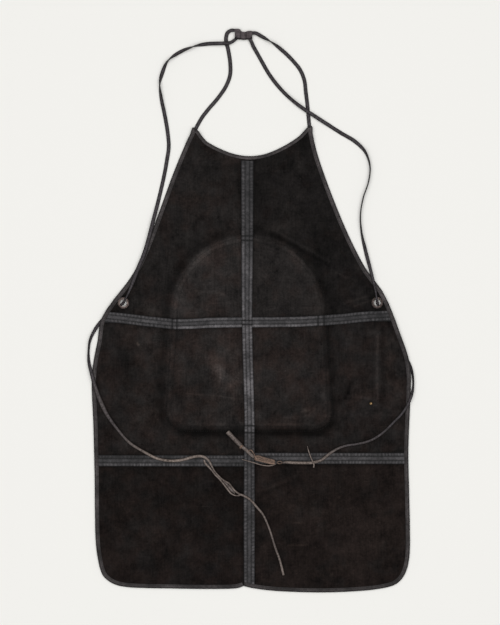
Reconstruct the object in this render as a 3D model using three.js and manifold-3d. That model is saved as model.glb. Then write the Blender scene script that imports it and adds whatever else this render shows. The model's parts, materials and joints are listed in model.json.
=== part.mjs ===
// Leather work apron lying flat, suede side up, neck end towards +Y. Millimetres, +Z up.
// The origin is on the floor under the middle of the apron.
// Every leather wall is cut from one draped sheet, so a band or a binding follows the panel under it.

import * as THREE from 'three';
import Module from 'manifold-3d';

const wasm = await Module();
wasm.setup();

// Driving sizes
const PANEL_THICKNESS = 1.8;
const BAND_THICKNESS = 1.2;
const BINDING_WALL = 1.0;
const BINDING_WIDTH = 8.5;
const PATCH_THICKNESS = 3.0;
const POCKET_THICKNESS = 1.8;
const THONG_THICKNESS = 2.2;
const LACE_THICKNESS = 2.0;
const GAP = 0.3;
const FLOOR_CLEARANCE = 0.2;
const EYELET = { hole: 6.35, barrel: 7.0, flange: 11, metal: 0.8, seat: 0.2, sides: 20 };
const RIVET = { across: 239, up: -88, shank: 1.4, head: 2.8, brow: 2.2, dome: 1.1, sides: 12 };
const EYELET_LEFT = new THREE.Vector2(-255.5, 112.5);
const EYELET_RIGHT = new THREE.Vector2(251.5, 113);

// Heights of the stack, from the floor up
const PANEL_BASE = BINDING_WALL + GAP;
const PATCH_LIFT = PATCH_THICKNESS + GAP - PANEL_BASE;
const POCKET_LIFT = POCKET_THICKNESS + GAP - PANEL_BASE;
const TUCK_LIFT = FLOOR_CLEARANCE + THONG_THICKNESS + GAP;
const BAND_SEAT = PANEL_THICKNESS + GAP;
const CROSSING_LIFT = BAND_THICKNESS + GAP;
const KEEPER_LIFT = 2.2;
const CUT_DEPTH = 20;

const table = (columns, ...rows) =>
  rows.map((row) => Object.fromEntries(columns.map((column, i) => [column, row[i]])));

// Half outlines, from the neck corner down the side and along the hem to the notch between the two halves
const LEFT_RIM = table(['across', 'up'],
  [-115, 463], [-130, 434], [-161, 358], [-190, 278], [-222, 198], [-245, 158], [-276, 118], [-300, 80],
  [-307, 38], [-315, -2], [-319, -42], [-316, -122], [-313, -242], [-311, -362], [-306, -402],
  [-296, -433], [-275, -449], [-250, -455], [-162, -458], [-62, -459], [-26, -457], [-15, -453]);
const RIGHT_RIM = table(['across', 'up'],
  [120, 466], [126, 434], [136, 398], [165, 318], [199, 238], [231, 178], [261, 138], [280, 98],
  [295, 58], [315, -2], [319, -42], [317, -102], [314, -182], [317, -342], [315, -402],
  [305, -433], [288, -450], [260, -458], [217, -463], [137, -466], [37, -462], [-4, -456], [-15, -453]);
const NECKLINE = table(['across', 'up'],
  [112, 462], [97, 446], [77, 432], [57, 421], [27, 409], [-3, 405], [-33, 409], [-63, 420], [-92, 437],
  [-106, 455]);

// Bands that cover the seams: middle line and width
const CENTRE_BAND = table(['across', 'up', 'width'],
  [-8, 397, 25], [-8, 240, 24], [-8.5, 74, 21], [-6, -30, 20.5], [-3.5, -122, 20.5], [-4, -205, 22],
  [-4, -330, 23], [-4, -450, 22]);
const WAIST_BAND = table(['across', 'up', 'width'],
  [-330, 84, 21], [-265, 83, 21], [-153, 70, 21], [-83, 73, 21], [-8, 74, 21], [97, 75, 21], [187, 81, 21],
  [237, 86, 21], [330, 86, 21]);
const HIP_BAND_LEFT = table(['across', 'up', 'width'], [-330, -202.5, 23], [-3, -203, 23]);
const HIP_BAND_RIGHT = table(['across', 'up', 'width'], [-5, -198, 23], [330, -198, 23]);

// Stretch of the centre band that steps over a cross band
const CROSSING = { left: -40, right: 34, margin: 1.5 };

// Seams between the panels, hidden under the bands
const CENTRE_SEAM = table(['across', 'up'],
  [-8, 520], [-8, 240], [-8.5, 74], [-4, -122], [-5, -205], [-9, -330], [-15, -450], [-15, -520]);
const HIP_SEAM = table(['across', 'up'], [-360, -200.5], [360, -200.5]);

// Patch and pocket sewn to the underside
const PATCH = { across: -3.5, shoulder: 90, radius: 156, foot: 169, bottom: -146, corner: 42 };
const POCKET = { left: 181, right: 258, top: 60, bottom: -97, corner: 7 };

// Soft shoulder of the leather over anything beneath it: share of the reach, share of the lift
const SHOULDER = table(['out', 'rise'], [1.15, -0.08], [0.65, 0.25], [0.3, 0.8], [0.06, 1]);
const REACH = { patch: 20, pocket: 10, tuck: 15, crossing: 9 };

// Half width of the bulge over a hidden length of strap: at an eyelet, at the rim, at a neck corner
const TUCK = { eyelet: EYELET.flange + 1.5, rim: 8.5, corner: 6.5, steps: 7 };

// Straps and ties: place, width, turn about the length in degrees (0 flat, 90 on edge), what carries them
// and the clear height over that
const STRAP_COLUMNS = ['across', 'up', 'width', 'turn', 'bed', 'lift'];
const NECK_LOOP = table(STRAP_COLUMNS,
  [-116, 437, 8, 0, 'floor', 0], [-110, 457, 8, 0, 'floor', 0], [-102, 477, 8, 0, 'floor', 0],
  [-86, 499, 8, 0, 'floor', 0], [-66, 523, 8, 0, 'floor', 0], [-50, 547, 8, 0, 'floor', 0],
  [-42, 568, 8, 0, 'floor', 0], [-41, 590, 8, 0, 'floor', 0], [-45, 618, 8, 0, 'floor', 0],
  [-50, 640, 8, 0, 'floor', 0], [-47, 651, 8, 0, 'floor', 1], [-38, 655.5, 7, 0, 'floor', KEEPER_LIFT],
  [-22, 654.5, 7, 0, 'floor', KEEPER_LIFT], [-8, 653.5, 7, 0, 'floor', KEEPER_LIFT],
  [6, 652, 7, 0, 'floor', KEEPER_LIFT], [21, 645, 8, 15, 'floor', 0.8], [38, 635, 8, 80, 'floor', 0],
  [61, 618, 8, 160, 'floor', 0], [83, 597, 8, 180, 'floor', 0], [98, 578, 8, 180, 'floor', 0],
  [106, 558, 8, 180, 'floor', 0], [109, 534, 8, 180, 'floor', 0], [112, 510, 8, 180, 'floor', 0],
  [114, 488, 8, 180, 'floor', 0], [116, 466, 8, 180, 'floor', 0], [118, 442, 8, 180, 'floor', 0]);
const SHOULDER_THONG = table(STRAP_COLUMNS,
  [-238, 146, 8, 0, 'leather', 0], [-228, 175, 8, 0, 'leather', 0], [-215, 208, 8, 0, 'leather', 0],
  [-195, 280, 8, 0, 'leather', 0], [-185, 320, 8, 0, 'floor', 0], [-169, 396, 8, 0, 'floor', 0],
  [-165, 426, 8, 0, 'floor', 0], [-167, 452, 8, 0, 'floor', 0], [-173, 488, 8, 10, 'floor', 0],
  [-180, 522, 8, 35, 'floor', 0], [-183, 549, 8, 90, 'floor', 0], [-178, 572, 8, 160, 'floor', 0],
  [-166, 597, 8, 90, 'floor', 0], [-146, 612, 8, 20, 'floor', 0], [-118, 624, 8, 75, 'floor', 0],
  [-90, 630, 8, 165, 'floor', 0.5],
  [-64, 631, 8, 180, 'floor', 3], [-48, 632.5, 8, 180, 'floor', 3.6], [-39, 641, 7.5, 180, 'floor', 2.4],
  [-31, 644.5, 7, 180, 'floor', KEEPER_LIFT], [-15, 645, 7, 180, 'floor', KEEPER_LIFT],
  [2, 645, 7, 180, 'floor', KEEPER_LIFT], [9, 638, 7.5, 180, 'floor', 1.4], [11, 622, 8, 180, 'floor', 0],
  [20, 597, 8, 180, 'floor', 0], [37, 568, 8, 180, 'floor', 0], [63, 537, 8, 150, 'floor', 0],
  [91, 512, 8, 150, 'floor', 2.6], [111, 498, 8, 180, 'floor', 2.8], [131, 485, 8, 180, 'floor', 2.4],
  [181, 453, 8, 180, 'floor', 0], [209, 434, 8, 165, 'floor', 0], [227, 415, 8, 120, 'floor', 0],
  [237, 385, 8, 95, 'floor', 0], [234, 354, 8, 90, 'floor', 0], [224, 324, 8, 90, 'floor', 0],
  [218, 288, 8, 90, 'floor', 0], [220, 254, 8, 105, 'floor', 0], [229, 214, 8, 150, 'floor', 0],
  [239, 175, 8, 180, 'leather', 0], [246.5, 144, 8, 180, 'leather', 0]);
const LEFT_TIE = table(STRAP_COLUMNS,
  [-279, 94, 8, 0, 'floor', 0], [-301, 75, 8, 0, 'floor', 0], [-313, 58, 7.5, 20, 'floor', 0.3],
  [-322, 38, 7.5, 55, 'floor', 0.3], [-326, 16, 7.5, 55, 'floor', 0.3], [-325, -6, 7.5, 35, 'floor', 0.6],
  [-320, -28, 7.5, 10, 'leather', 0], [-312, -54, 7.5, 0, 'leather', 0], [-301, -80, 7, 0, 'leather', 0],
  [-287, -108, 7, 0, 'leather', 0], [-266, -138, 6.5, 0, 'leather', 0], [-241, -167, 6.5, 0, 'leather', 0],
  [-214, -184, 6.5, 0, 'leather', 0], [-186, -197, 6, 0, 'leather', 0], [-159, -201, 6, 0, 'leather', 0],
  [-136, -199, 6, 0, 'leather', 0], [-113, -192, 6, 0, 'leather', 0], [-95, -193, 5.5, 0, 'leather', 0],
  [-83, -203, 5, 0, 'leather', 0], [-76, -217, 4.2, 0, 'leather', 0], [-60, -237, 4, 0, 'leather', 0],
  [-44, -248, 4, 0, 'leather', 0], [-31, -263, 4.4, 0, 'leather', 0], [-17, -272, 5, 0, 'leather', 0],
  [-1, -281, 5.5, 0, 'leather', 0], [11, -293, 5.5, 0, 'leather', 0], [23, -307, 5.5, 0, 'leather', 0],
  [35, -336, 5, 0, 'leather', 0], [47, -375, 5, 0, 'leather', 0], [64, -430, 4.5, 0, 'leather', 0]);
const TIE_SPLICE = table(STRAP_COLUMNS,
  [-96, -205, 4, 0, 'leather', 0], [-87, -215, 4, 0, 'leather', 0], [-77, -226, 4, 0, 'leather', 0],
  [-67, -238, 4, 0, 'leather', 0], [-55, -251, 4, 0, 'leather', 0], [-45, -261, 4, 0, 'leather', 0],
  [-35, -270, 4, 0, 'leather', 0], [-26, -275, 3.5, 0, 'leather', 0]);
const RIGHT_TIE = table(STRAP_COLUMNS,
  [265, 84, 8, 0, 'floor', 0], [287, 38, 8, 0, 'floor', 0], [306, 2, 8, 0, 'floor', 0],
  [319, -17, 7.5, 0, 'floor', 0], [327, -39, 7, -20, 'floor', 0], [327, -54, 7, -40, 'floor', 0.8],
  [323, -73, 7, -15, 'leather', 0], [313, -91, 7, 0, 'leather', 0], [301, -108, 6.5, 0, 'leather', 0],
  [284, -126, 6, 0, 'leather', 0], [261, -148, 6, 0, 'leather', 0], [238, -162, 6, 0, 'leather', 0],
  [212, -169, 6, 0, 'leather', 0], [187, -173, 6, 0, 'leather', 0], [169, -180, 6, 0, 'leather', 0],
  [155, -189, 6, 0, 'leather', 0], [140, -202, 6, 0, 'leather', 0], [123, -208, 6, 0, 'leather', 0],
  [103, -209, 6, 0, 'leather', 0], [77, -208, 6.5, 0, 'leather', 0], [58, -206, 6.5, 0, 'leather', 0],
  [49, -204.5, 5, 0, 'leather', 0]);
const TIE_END = table(STRAP_COLUMNS,
  [4.9, -194.2, 6, 0, 'leather', 0.6], [-2, -190, 8, 0, 'leather', 0], [-10, -182, 9, 0, 'leather', 0],
  [-22, -172, 9, 0, 'leather', 0],
  [-36, -158, 9.4, 0, 'leather', 0], [-49, -145, 9.4, 0, 'leather', 0]);
const KNOT_LACE = table(STRAP_COLUMNS,
  [47.5, -214, 2, 0, 'leather', 0], [29, -215, 2, 0, 'leather', 0], [13, -212, 2, 0, 'leather', 0],
  [-3, -206, 2, 0, 'leather', 0], [-19, -199.5, 1.6, 0, 'leather', 0]);
const SIDE_LACE = table(STRAP_COLUMNS,
  [112, -174, 1.4, 0, 'leather', 0], [116, -187, 1.8, 0, 'leather', 0], [120, -198, 2, 0, 'leather', 2.7],
  [123.5, -208, 2, 0, 'leather', 2.7], [124, -215, 2, 0, 'leather', 2.2], [124.5, -224, 2, 0, 'leather', 0]);

// Wrapped knot on the right tie and the folded keeper at the nape, section by section along their length
const KNOT = { from: new THREE.Vector2(48, -204.5), to: new THREE.Vector2(6, -194.5), reach: 8, sides: 12 };
const KNOT_SECTIONS = table(['along', 'width', 'height'],
  [0, 5, 3], [0.08, 10, 5.5], [0.3, 13, 7], [0.55, 13.5, 7.5], [0.8, 11, 6.5], [0.94, 8, 5], [1, 5, 3.5]);
const KEEPER = { left: -33, right: 2, up: 649.4, cavityHeight: 3, roundness: 0.35, sides: 16, overrun: 2 };
const KEEPER_SECTIONS = table(['along', 'width', 'cavity', 'height'],
  [0, 23, 20.6, 6.2], [0.3, 23, 20.4, 6.6], [0.42, 22, 20, 5.8], [0.62, 22, 20, 5.8],
  [0.75, 23, 20.4, 6.6], [1, 23, 20.6, 6.2]);

// Finishes
const FINISH = {
  suede: { color: 0x2b2625, roughness: 0.95, metalness: 0 },
  band: { color: 0x35343a, roughness: 0.55, metalness: 0 },
  binding: { color: 0x2a2828, roughness: 0.6, metalness: 0 },
  lining: { color: 0x302a27, roughness: 0.9, metalness: 0 },
  thong: { color: 0x393434, roughness: 0.65, metalness: 0 },
  tie: { color: 0x7a6657, roughness: 0.75, metalness: 0 },
  brass: { color: 0x8a6a58, roughness: 0.4, metalness: 1 },
};

const apron = new THREE.Group();

function add(name, geometry, finish) {
  const mesh = new THREE.Mesh(geometry, new THREE.MeshStandardMaterial(finish));
  mesh.name = name;
  apron.add(mesh);
}

// Closed solids

function capFaces(ring) {
  const normal = new THREE.Vector3();
  ring.forEach((p, i) => normal.add(p.clone().cross(ring[(i + 1) % ring.length])));
  const first = new THREE.Vector3().subVectors(ring[1], ring[0]).normalize();
  const second = normal.normalize().cross(first);
  const flat = ring.map((p) => new THREE.Vector2(p.dot(first), p.dot(second)));
  return THREE.ShapeUtils.triangulateShape(flat, []);
}

// Solid through a row of planar rings with equal point counts, capped at both ends
function loft(rings) {
  const count = rings[0].length;
  const points = rings.flat();
  const faces = [];
  for (let r = 0; r + 1 < rings.length; r++) {
    for (let i = 0; i < count; i++) {
      const a = r * count + i;
      const b = r * count + ((i + 1) % count);
      faces.push([a, b, b + count], [a, b + count, a + count]);
    }
  }
  const last = (rings.length - 1) * count;
  capFaces(rings[0]).forEach(([a, b, c]) => faces.push([a, c, b]));
  capFaces(rings.at(-1)).forEach(([a, b, c]) => faces.push([last + a, last + b, last + c]));
  const volume = faces.reduce((sum, [a, b, c]) => sum + points[a].dot(points[b].clone().cross(points[c])), 0);
  const outward = volume > 0 ? faces : faces.map(([a, b, c]) => [a, c, b]);
  return { points, faces: outward };
}

function toGeometry({ points, faces }) {
  const geometry = new THREE.BufferGeometry().setFromPoints(points);
  geometry.setIndex(faces.flat());
  return geometry;
}

function toSolid({ points, faces }) {
  const vertProperties = new Float32Array(points.flatMap((p) => p.toArray()));
  const triVerts = new Uint32Array(faces.flat());
  return new wasm.Manifold(new wasm.Mesh({ numProp: 3, vertProperties, triVerts }));
}

function solidGeometry(solid) {
  const { vertProperties, triVerts } = solid.getMesh();
  const geometry = new THREE.BufferGeometry();
  geometry.setAttribute('position', new THREE.BufferAttribute(vertProperties, 3));
  geometry.setIndex(new THREE.BufferAttribute(triVerts, 1));
  return geometry;
}

// Plan outlines

const level = (outline, height) => outline.map((p) => new THREE.Vector3(p.x, p.y, height));
const prism = (outline, low, high) => toSolid(loft([level(outline, low), level(outline, high)]));
const through = (outline) => prism(outline, -CUT_DEPTH, CUT_DEPTH);

function smooth(rows, stepsPerRow) {
  const places = rows.map((row) => new THREE.Vector3(row.across, row.up, 0));
  const curve = new THREE.CatmullRomCurve3(places, false, 'centripetal');
  return curve.getPoints((rows.length - 1) * stepsPerRow).map((p) => new THREE.Vector2(p.x, p.y));
}

// Anticlockwise outline moved sideways by a distance, inwards if positive
function inset(outline, distance) {
  const count = outline.length;
  const normal = (a, b) => new THREE.Vector2(a.y - b.y, b.x - a.x).normalize();
  return outline.map((p, i) => {
    const before = normal(outline[(i + count - 1) % count], p);
    const after = normal(p, outline[(i + 1) % count]);
    const sum = before.clone().add(after);
    return p.clone().addScaledVector(sum, (2 * distance) / sum.lengthSq());
  });
}

function arcPoints(centre, radius, from, to, steps) {
  return Array.from({ length: steps + 1 }, (_, i) => {
    const angle = from + ((to - from) * i) / steps;
    return new THREE.Vector2(centre.x + radius * Math.cos(angle), centre.y + radius * Math.sin(angle));
  });
}

// Whole circle as a closed outline
const circle = (centre, radius, sides) => arcPoints(centre, radius, 0, 2 * Math.PI, sides).slice(1);

// Outline round two circles of different size
function teardrop(p, pRadius, q, qRadius) {
  const heading = Math.atan2(q.y - p.y, q.x - p.x);
  const spread = Math.acos((pRadius - qRadius) / p.distanceTo(q));
  const back = arcPoints(p, pRadius, heading + spread, heading + 2 * Math.PI - spread, TUCK.steps);
  return [...back, ...arcPoints(q, qRadius, heading - spread, heading + spread, TUCK.steps)];
}

function bandOutline(rows, stepsPerRow) {
  const middle = smooth(rows, stepsPerRow);
  const widths = rows.map((row) => row.width);
  const side = (sign) => middle.map((p, i) => {
    const next = middle[Math.min(i + 1, middle.length - 1)];
    const last = middle[Math.max(i - 1, 0)];
    const along = next.clone().sub(last).normalize();
    const k = i / stepsPerRow;
    const low = Math.min(Math.floor(k), widths.length - 2);
    const half = THREE.MathUtils.lerp(widths[low], widths[low + 1], k - low) / 2;
    return new THREE.Vector2(p.x - along.y * half * sign, p.y + along.x * half * sign);
  });
  return [...side(1).reverse(), ...side(-1)];
}

function isInside(outline, x, y) {
  let inside = false;
  outline.forEach((a, i) => {
    const b = outline[(i + 1) % outline.length];
    if (a.y > y !== b.y > y && x < a.x + ((y - a.y) / (b.y - a.y)) * (b.x - a.x)) inside = !inside;
  });
  return inside;
}

function distanceTo(outline, x, y) {
  const spot = new THREE.Vector3(x, y, 0);
  const nearest = new THREE.Vector3();
  const side = new THREE.Line3();
  return Math.min(...outline.map((a, i) => {
    const b = outline[(i + 1) % outline.length];
    side.set(new THREE.Vector3(a.x, a.y, 0), new THREE.Vector3(b.x, b.y, 0));
    return side.closestPointToPoint(spot, true, nearest).distanceTo(spot);
  }));
}

const distanceOutside = (outline, x, y) => (isInside(outline, x, y) ? 0 : distanceTo(outline, x, y));

// Inset without the points that would fold over at sharp corners
const cleanInset = (outline, distance) =>
  inset(outline, distance).filter((p) => distanceTo(outline, p.x, p.y) > 0.9995 * distance);

const RIM = [...smooth(LEFT_RIM, 2), ...smooth(RIGHT_RIM, 2).reverse().slice(1), ...smooth(NECKLINE, 2)];
const PANEL_EDGE = inset(RIM, BINDING_WALL + GAP);
const BINDING_INNER = cleanInset(RIM, BINDING_WIDTH);
const BAND_LIMIT = cleanInset(RIM, BINDING_WIDTH + GAP);

const ARC_STEPS = 7;

function patchOutline() {
  const { across, shoulder, radius, foot, bottom, corner } = PATCH;
  const lower = bottom + corner;
  const right = new THREE.Vector2(across + foot - corner, lower);
  const left = new THREE.Vector2(across - foot + corner, lower);
  return [
    ...arcPoints(new THREE.Vector2(across, shoulder), radius, 0, Math.PI, 4 * ARC_STEPS),
    ...arcPoints(left, corner, Math.PI, 1.5 * Math.PI, ARC_STEPS),
    ...arcPoints(right, corner, 1.5 * Math.PI, 2 * Math.PI, ARC_STEPS),
  ];
}

function pocketOutline() {
  const { left, right, top, bottom, corner } = POCKET;
  const [west, east, south, north] = [left + corner, right - corner, bottom + corner, top - corner];
  const centres = [[east, north], [west, north], [west, south], [east, south]];
  return centres.flatMap(([x, y], quarter) => {
    const from = (quarter * Math.PI) / 2;
    return arcPoints(new THREE.Vector2(x, y), corner, from, from + Math.PI / 2, 3);
  });
}

const PATCH_EDGE = patchOutline();
const POCKET_EDGE = pocketOutline();
const place = (row) => new THREE.Vector2(row.across, row.up);

// What lifts the leather off the floor: the patch, the pocket and the hidden lengths of strap
const RELIEFS = [
  { outline: PATCH_EDGE, lift: PATCH_LIFT, reach: REACH.patch },
  { outline: POCKET_EDGE, lift: POCKET_LIFT, reach: REACH.pocket },
  ...[
    teardrop(EYELET_LEFT, TUCK.eyelet, place(LEFT_TIE[2]), TUCK.rim),
    teardrop(EYELET_RIGHT, TUCK.eyelet, place(RIGHT_TIE[4]), TUCK.rim),
    teardrop(place(NECK_LOOP[0]), TUCK.corner, place(NECK_LOOP[2]), TUCK.corner),
    teardrop(place(NECK_LOOP.at(-1)), TUCK.corner, place(NECK_LOOP.at(-3)), TUCK.corner),
  ].map((outline) => ({ outline, lift: TUCK_LIFT, reach: REACH.tuck })),
];

const FIELD = [[-400, -520], [400, -520], [400, 520], [-400, 520]].map(([x, y]) => new THREE.Vector2(x, y));

function shoulderSolid({ outline, lift, reach }, shift) {
  const rings = SHOULDER.map(({ out, rise }) =>
    level(inset(outline, -out * reach), PANEL_BASE + shift + rise * lift));
  return toSolid(loft(rings));
}

// Everything below the draped leather's underside, moved up by a shift
function mound(shift, reliefs = RELIEFS) {
  const field = prism(FIELD, shift - CUT_DEPTH, shift + PANEL_BASE);
  return reliefs.reduce((sum, relief) => sum.add(shoulderSolid(relief, shift)), field);
}

const drape = (low, high, reliefs) => mound(high, reliefs).subtract(mound(low, reliefs));

function underside(x, y) {
  const rises = RELIEFS.map(({ outline, lift, reach }) => {
    const out = distanceOutside(outline, x, y) / reach;
    if (out <= SHOULDER.at(-1).out) return lift;
    const row = SHOULDER.findIndex((entry, i) => i > 0 && out >= entry.out);
    if (row < 1 || out >= SHOULDER[0].out) return 0;
    const share = (SHOULDER[row - 1].out - out) / (SHOULDER[row - 1].out - SHOULDER[row].out);
    return lift * THREE.MathUtils.lerp(SHOULDER[row - 1].rise, SHOULDER[row].rise, share);
  });
  return PANEL_BASE + Math.max(0, ...rises);
}

// Panels, in two columns and three rows

const waistSeam = smooth(WAIST_BAND, 2);
const hipSeam = smooth(HIP_SEAM, 1);
const centreSeam = smooth(CENTRE_SEAM, 2);
const FAR = 600;

function columnOutline(sign) {
  const edge = centreSeam.map((p) => new THREE.Vector2(p.x + (sign * GAP) / 2, p.y));
  const outer = [new THREE.Vector2(sign * FAR, -FAR), new THREE.Vector2(sign * FAR, FAR)];
  return [...edge, ...outer];
}

function rowOutline(lower, upper) {
  const low = lower.map((p) => new THREE.Vector2(p.x, p.y + GAP / 2));
  const high = upper.map((p) => new THREE.Vector2(p.x, p.y - GAP / 2));
  return [...low, ...high.reverse()];
}

const flatSeam = (height) => [new THREE.Vector2(-FAR, height), new THREE.Vector2(FAR, height)];
const PANEL_ROWS = [
  { name: 'bib', outline: rowOutline(waistSeam, flatSeam(FAR)) },
  { name: 'waist', outline: rowOutline(hipSeam, waistSeam) },
  { name: 'hem', outline: rowOutline(flatSeam(-FAR), hipSeam) },
];
const COLUMNS = [{ name: 'left', sign: -1 }, { name: 'right', sign: 1 }];

const eyeletHole = (centre) => through(circle(centre, EYELET.barrel + GAP, EYELET.sides));
const rivetHole = through(circle(place(RIVET), RIVET.shank + GAP, RIVET.sides));
const hide = drape(0, PANEL_THICKNESS)
  .intersect(through(PANEL_EDGE))
  .subtract(eyeletHole(EYELET_LEFT))
  .subtract(eyeletHole(EYELET_RIGHT))
  .subtract(rivetHole);

for (const { name: rowName, outline } of PANEL_ROWS) {
  for (const { name: columnName, sign } of COLUMNS) {
    const panel = hide.intersect(through(outline)).intersect(through(columnOutline(sign)));
    add(`panel_${rowName}_${columnName}`, solidGeometry(panel), FINISH.suede);
  }
}

// Bands over the seams

const bandSheet = drape(BAND_SEAT, BAND_SEAT + BAND_THICKNESS).intersect(through(BAND_LIMIT));
const waistOutline = bandOutline(WAIST_BAND, 2);
const CROSS_BANDS = [
  { name: 'waist', left: waistOutline, right: waistOutline },
  { name: 'hip', left: bandOutline(HIP_BAND_LEFT, 1), right: bandOutline(HIP_BAND_RIGHT, 1) },
];
for (const { name: bandName, ...halves } of CROSS_BANDS) {
  for (const { name: columnName, sign } of COLUMNS) {
    const band = bandSheet.intersect(through(halves[columnName])).intersect(through(columnOutline(sign)));
    add(`band_${bandName}_${columnName}`, solidGeometry(band), FINISH.band);
  }
}

// Step of the centre band over a cross band, between the rows of its lower and upper half
function crossing(lower, upper, lift) {
  const low = lower.up - lower.width / 2 - CROSSING.margin;
  const high = upper.up + upper.width / 2 + CROSSING.margin;
  const { left, right } = CROSSING;
  const corners = [[left, low], [right, low], [right, high], [left, high]];
  const outline = corners.map(([x, y]) => new THREE.Vector2(x, y));
  return { outline, lift, reach: REACH.crossing };
}

const waistMiddle = WAIST_BAND[4];
const CROSSINGS = [
  crossing(waistMiddle, waistMiddle, PATCH_LIFT + CROSSING_LIFT),
  crossing(HIP_BAND_LEFT.at(-1), HIP_BAND_RIGHT[0], CROSSING_LIFT),
];
const centreOutline = bandOutline(CENTRE_BAND, 2);
const centreBand = drape(BAND_SEAT, BAND_SEAT + BAND_THICKNESS, [...RELIEFS, ...CROSSINGS])
  .intersect(through(centreOutline))
  .intersect(through(BAND_LIMIT));
add('band_centre', solidGeometry(centreBand), FINISH.band);

// Bindings folded round the rim, mitred at the neck corners

const MITRE = { above: 30, below: 34, leanLeft: 6, leanRight: 4, deepest: new THREE.Vector2(-3, 360) };

function neckSide(widen) {
  const right = place(NECKLINE[0]).lerp(place(RIGHT_RIM[0]), 0.5);
  const left = place(NECKLINE.at(-1)).lerp(place(LEFT_RIM[0]), 0.5);
  const { above, below, leanLeft, leanRight, deepest } = MITRE;
  const corners = [
    [right.x + widen, right.y + above], [left.x - widen, left.y + above], [left.x - widen, left.y],
    [left.x + leanLeft - widen, left.y - below], [deepest.x, deepest.y],
    [right.x - leanRight + widen, right.y - below], [right.x + widen, right.y],
  ];
  return corners.map(([x, y]) => new THREE.Vector2(x, y));
}

const wrap = drape(-GAP - BINDING_WALL, PANEL_THICKNESS + GAP + BINDING_WALL).intersect(through(RIM));
const slot = drape(-GAP, PANEL_THICKNESS + GAP).intersect(through(inset(RIM, BINDING_WALL)));
const binding = wrap.subtract(through(BINDING_INNER)).subtract(slot);

function halfPlan(sign) {
  const edge = LEFT_RIM.at(-1).across + (sign * GAP) / 2;
  const corners = [[edge, -FAR], [edge + sign * FAR, -FAR], [edge + sign * FAR, FAR], [edge, FAR]];
  return corners.map(([x, y]) => new THREE.Vector2(x, y));
}

add('binding_neck', solidGeometry(binding.intersect(through(neckSide(0)))), FINISH.binding);
for (const { name: columnName, sign } of COLUMNS) {
  const side = binding.subtract(through(neckSide(GAP))).intersect(through(halfPlan(sign)));
  add(`binding_${columnName}`, solidGeometry(side), FINISH.binding);
}

// Patch and pocket under the leather

add('back_patch', solidGeometry(prism(PATCH_EDGE, 0, PATCH_THICKNESS)), FINISH.lining);
add('side_pocket', solidGeometry(prism(POCKET_EDGE, 0, POCKET_THICKNESS).subtract(rivetHole)), FINISH.lining);

// Eyelets and the pocket's rivet

const eyeletUnderside = PANEL_BASE + TUCK_LIFT;
const eyeletTop = eyeletUnderside + PANEL_THICKNESS;

// Round piece standing upright on its axis
const turned = (profile, sides) =>
  new THREE.LatheGeometry(profile.map(([r, z]) => new THREE.Vector2(r, z)), sides).rotateX(Math.PI / 2);

function eyeletGeometry() {
  const { hole, barrel, flange, metal, seat, sides } = EYELET;
  const low = eyeletUnderside - seat;
  const high = eyeletTop + seat;
  const roll = metal / 2;
  const start = [hole, low - roll];
  const profile = [
    start, [hole + roll, low - metal], [flange - 2 * roll, low - metal], [flange - roll, low - roll],
    [flange - roll, low], [barrel, low], [barrel, high], [flange, high], [flange, high + roll],
    [flange - 3 * roll, high + metal], [hole + 2 * roll, high + metal], [hole, high + roll], start,
  ];
  return turned(profile, sides);
}

for (const { name: columnName, centre } of [
  { name: 'left', centre: EYELET_LEFT }, { name: 'right', centre: EYELET_RIGHT },
]) {
  add(`eyelet_${columnName}`, eyeletGeometry().translate(centre.x, centre.y, 0), FINISH.brass);
}

const rivetSeat = underside(RIVET.across, RIVET.up) + PANEL_THICKNESS + GAP;
const rivetProfile = [
  [0, FLOOR_CLEARANCE], [RIVET.shank, FLOOR_CLEARANCE], [RIVET.shank, rivetSeat], [RIVET.head, rivetSeat],
  [RIVET.brow, rivetSeat + RIVET.dome / 2], [0, rivetSeat + RIVET.dome],
];
add('pocket_rivet', turned(rivetProfile, RIVET.sides).translate(RIVET.across, RIVET.up, 0), FINISH.brass);

// Straps, ties and laces

const bandPlans = CROSS_BANDS.flatMap((band) => [band.left, band.right]);

function surface(x, y) {
  if (!isInside(RIM, x, y)) return 0;
  const leather = underside(x, y) + PANEL_THICKNESS;
  if (!isInside(BINDING_INNER, x, y)) return leather + GAP + BINDING_WALL;
  const crossed = bandPlans.some((outline) => isInside(outline, x, y)) ? CROSSING_LIFT : 0;
  const centred = isInside(centreOutline, x, y) ? CROSSING_LIFT : 0;
  return leather + crossed + centred;
}

const REST = { reach: 13, spokes: 16 };

// Highest surface within reach of a place
function rest(centre, reach) {
  const spots = [reach / 2, reach].flatMap((radius) => circle(centre, radius, REST.spokes));
  return Math.max(...[centre, ...spots].map((spot) => surface(spot.x, spot.y)));
}

function strapCentre(row, thickness) {
  const turn = THREE.MathUtils.degToRad(row.turn);
  const half = (Math.abs(Math.sin(turn)) * row.width + Math.abs(Math.cos(turn)) * thickness) / 2;
  const bed = row.bed === 'leather' ? rest(place(row), REST.reach) + GAP : FLOOR_CLEARANCE;
  return new THREE.Vector3(row.across, row.up, bed + row.lift + half);
}

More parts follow.
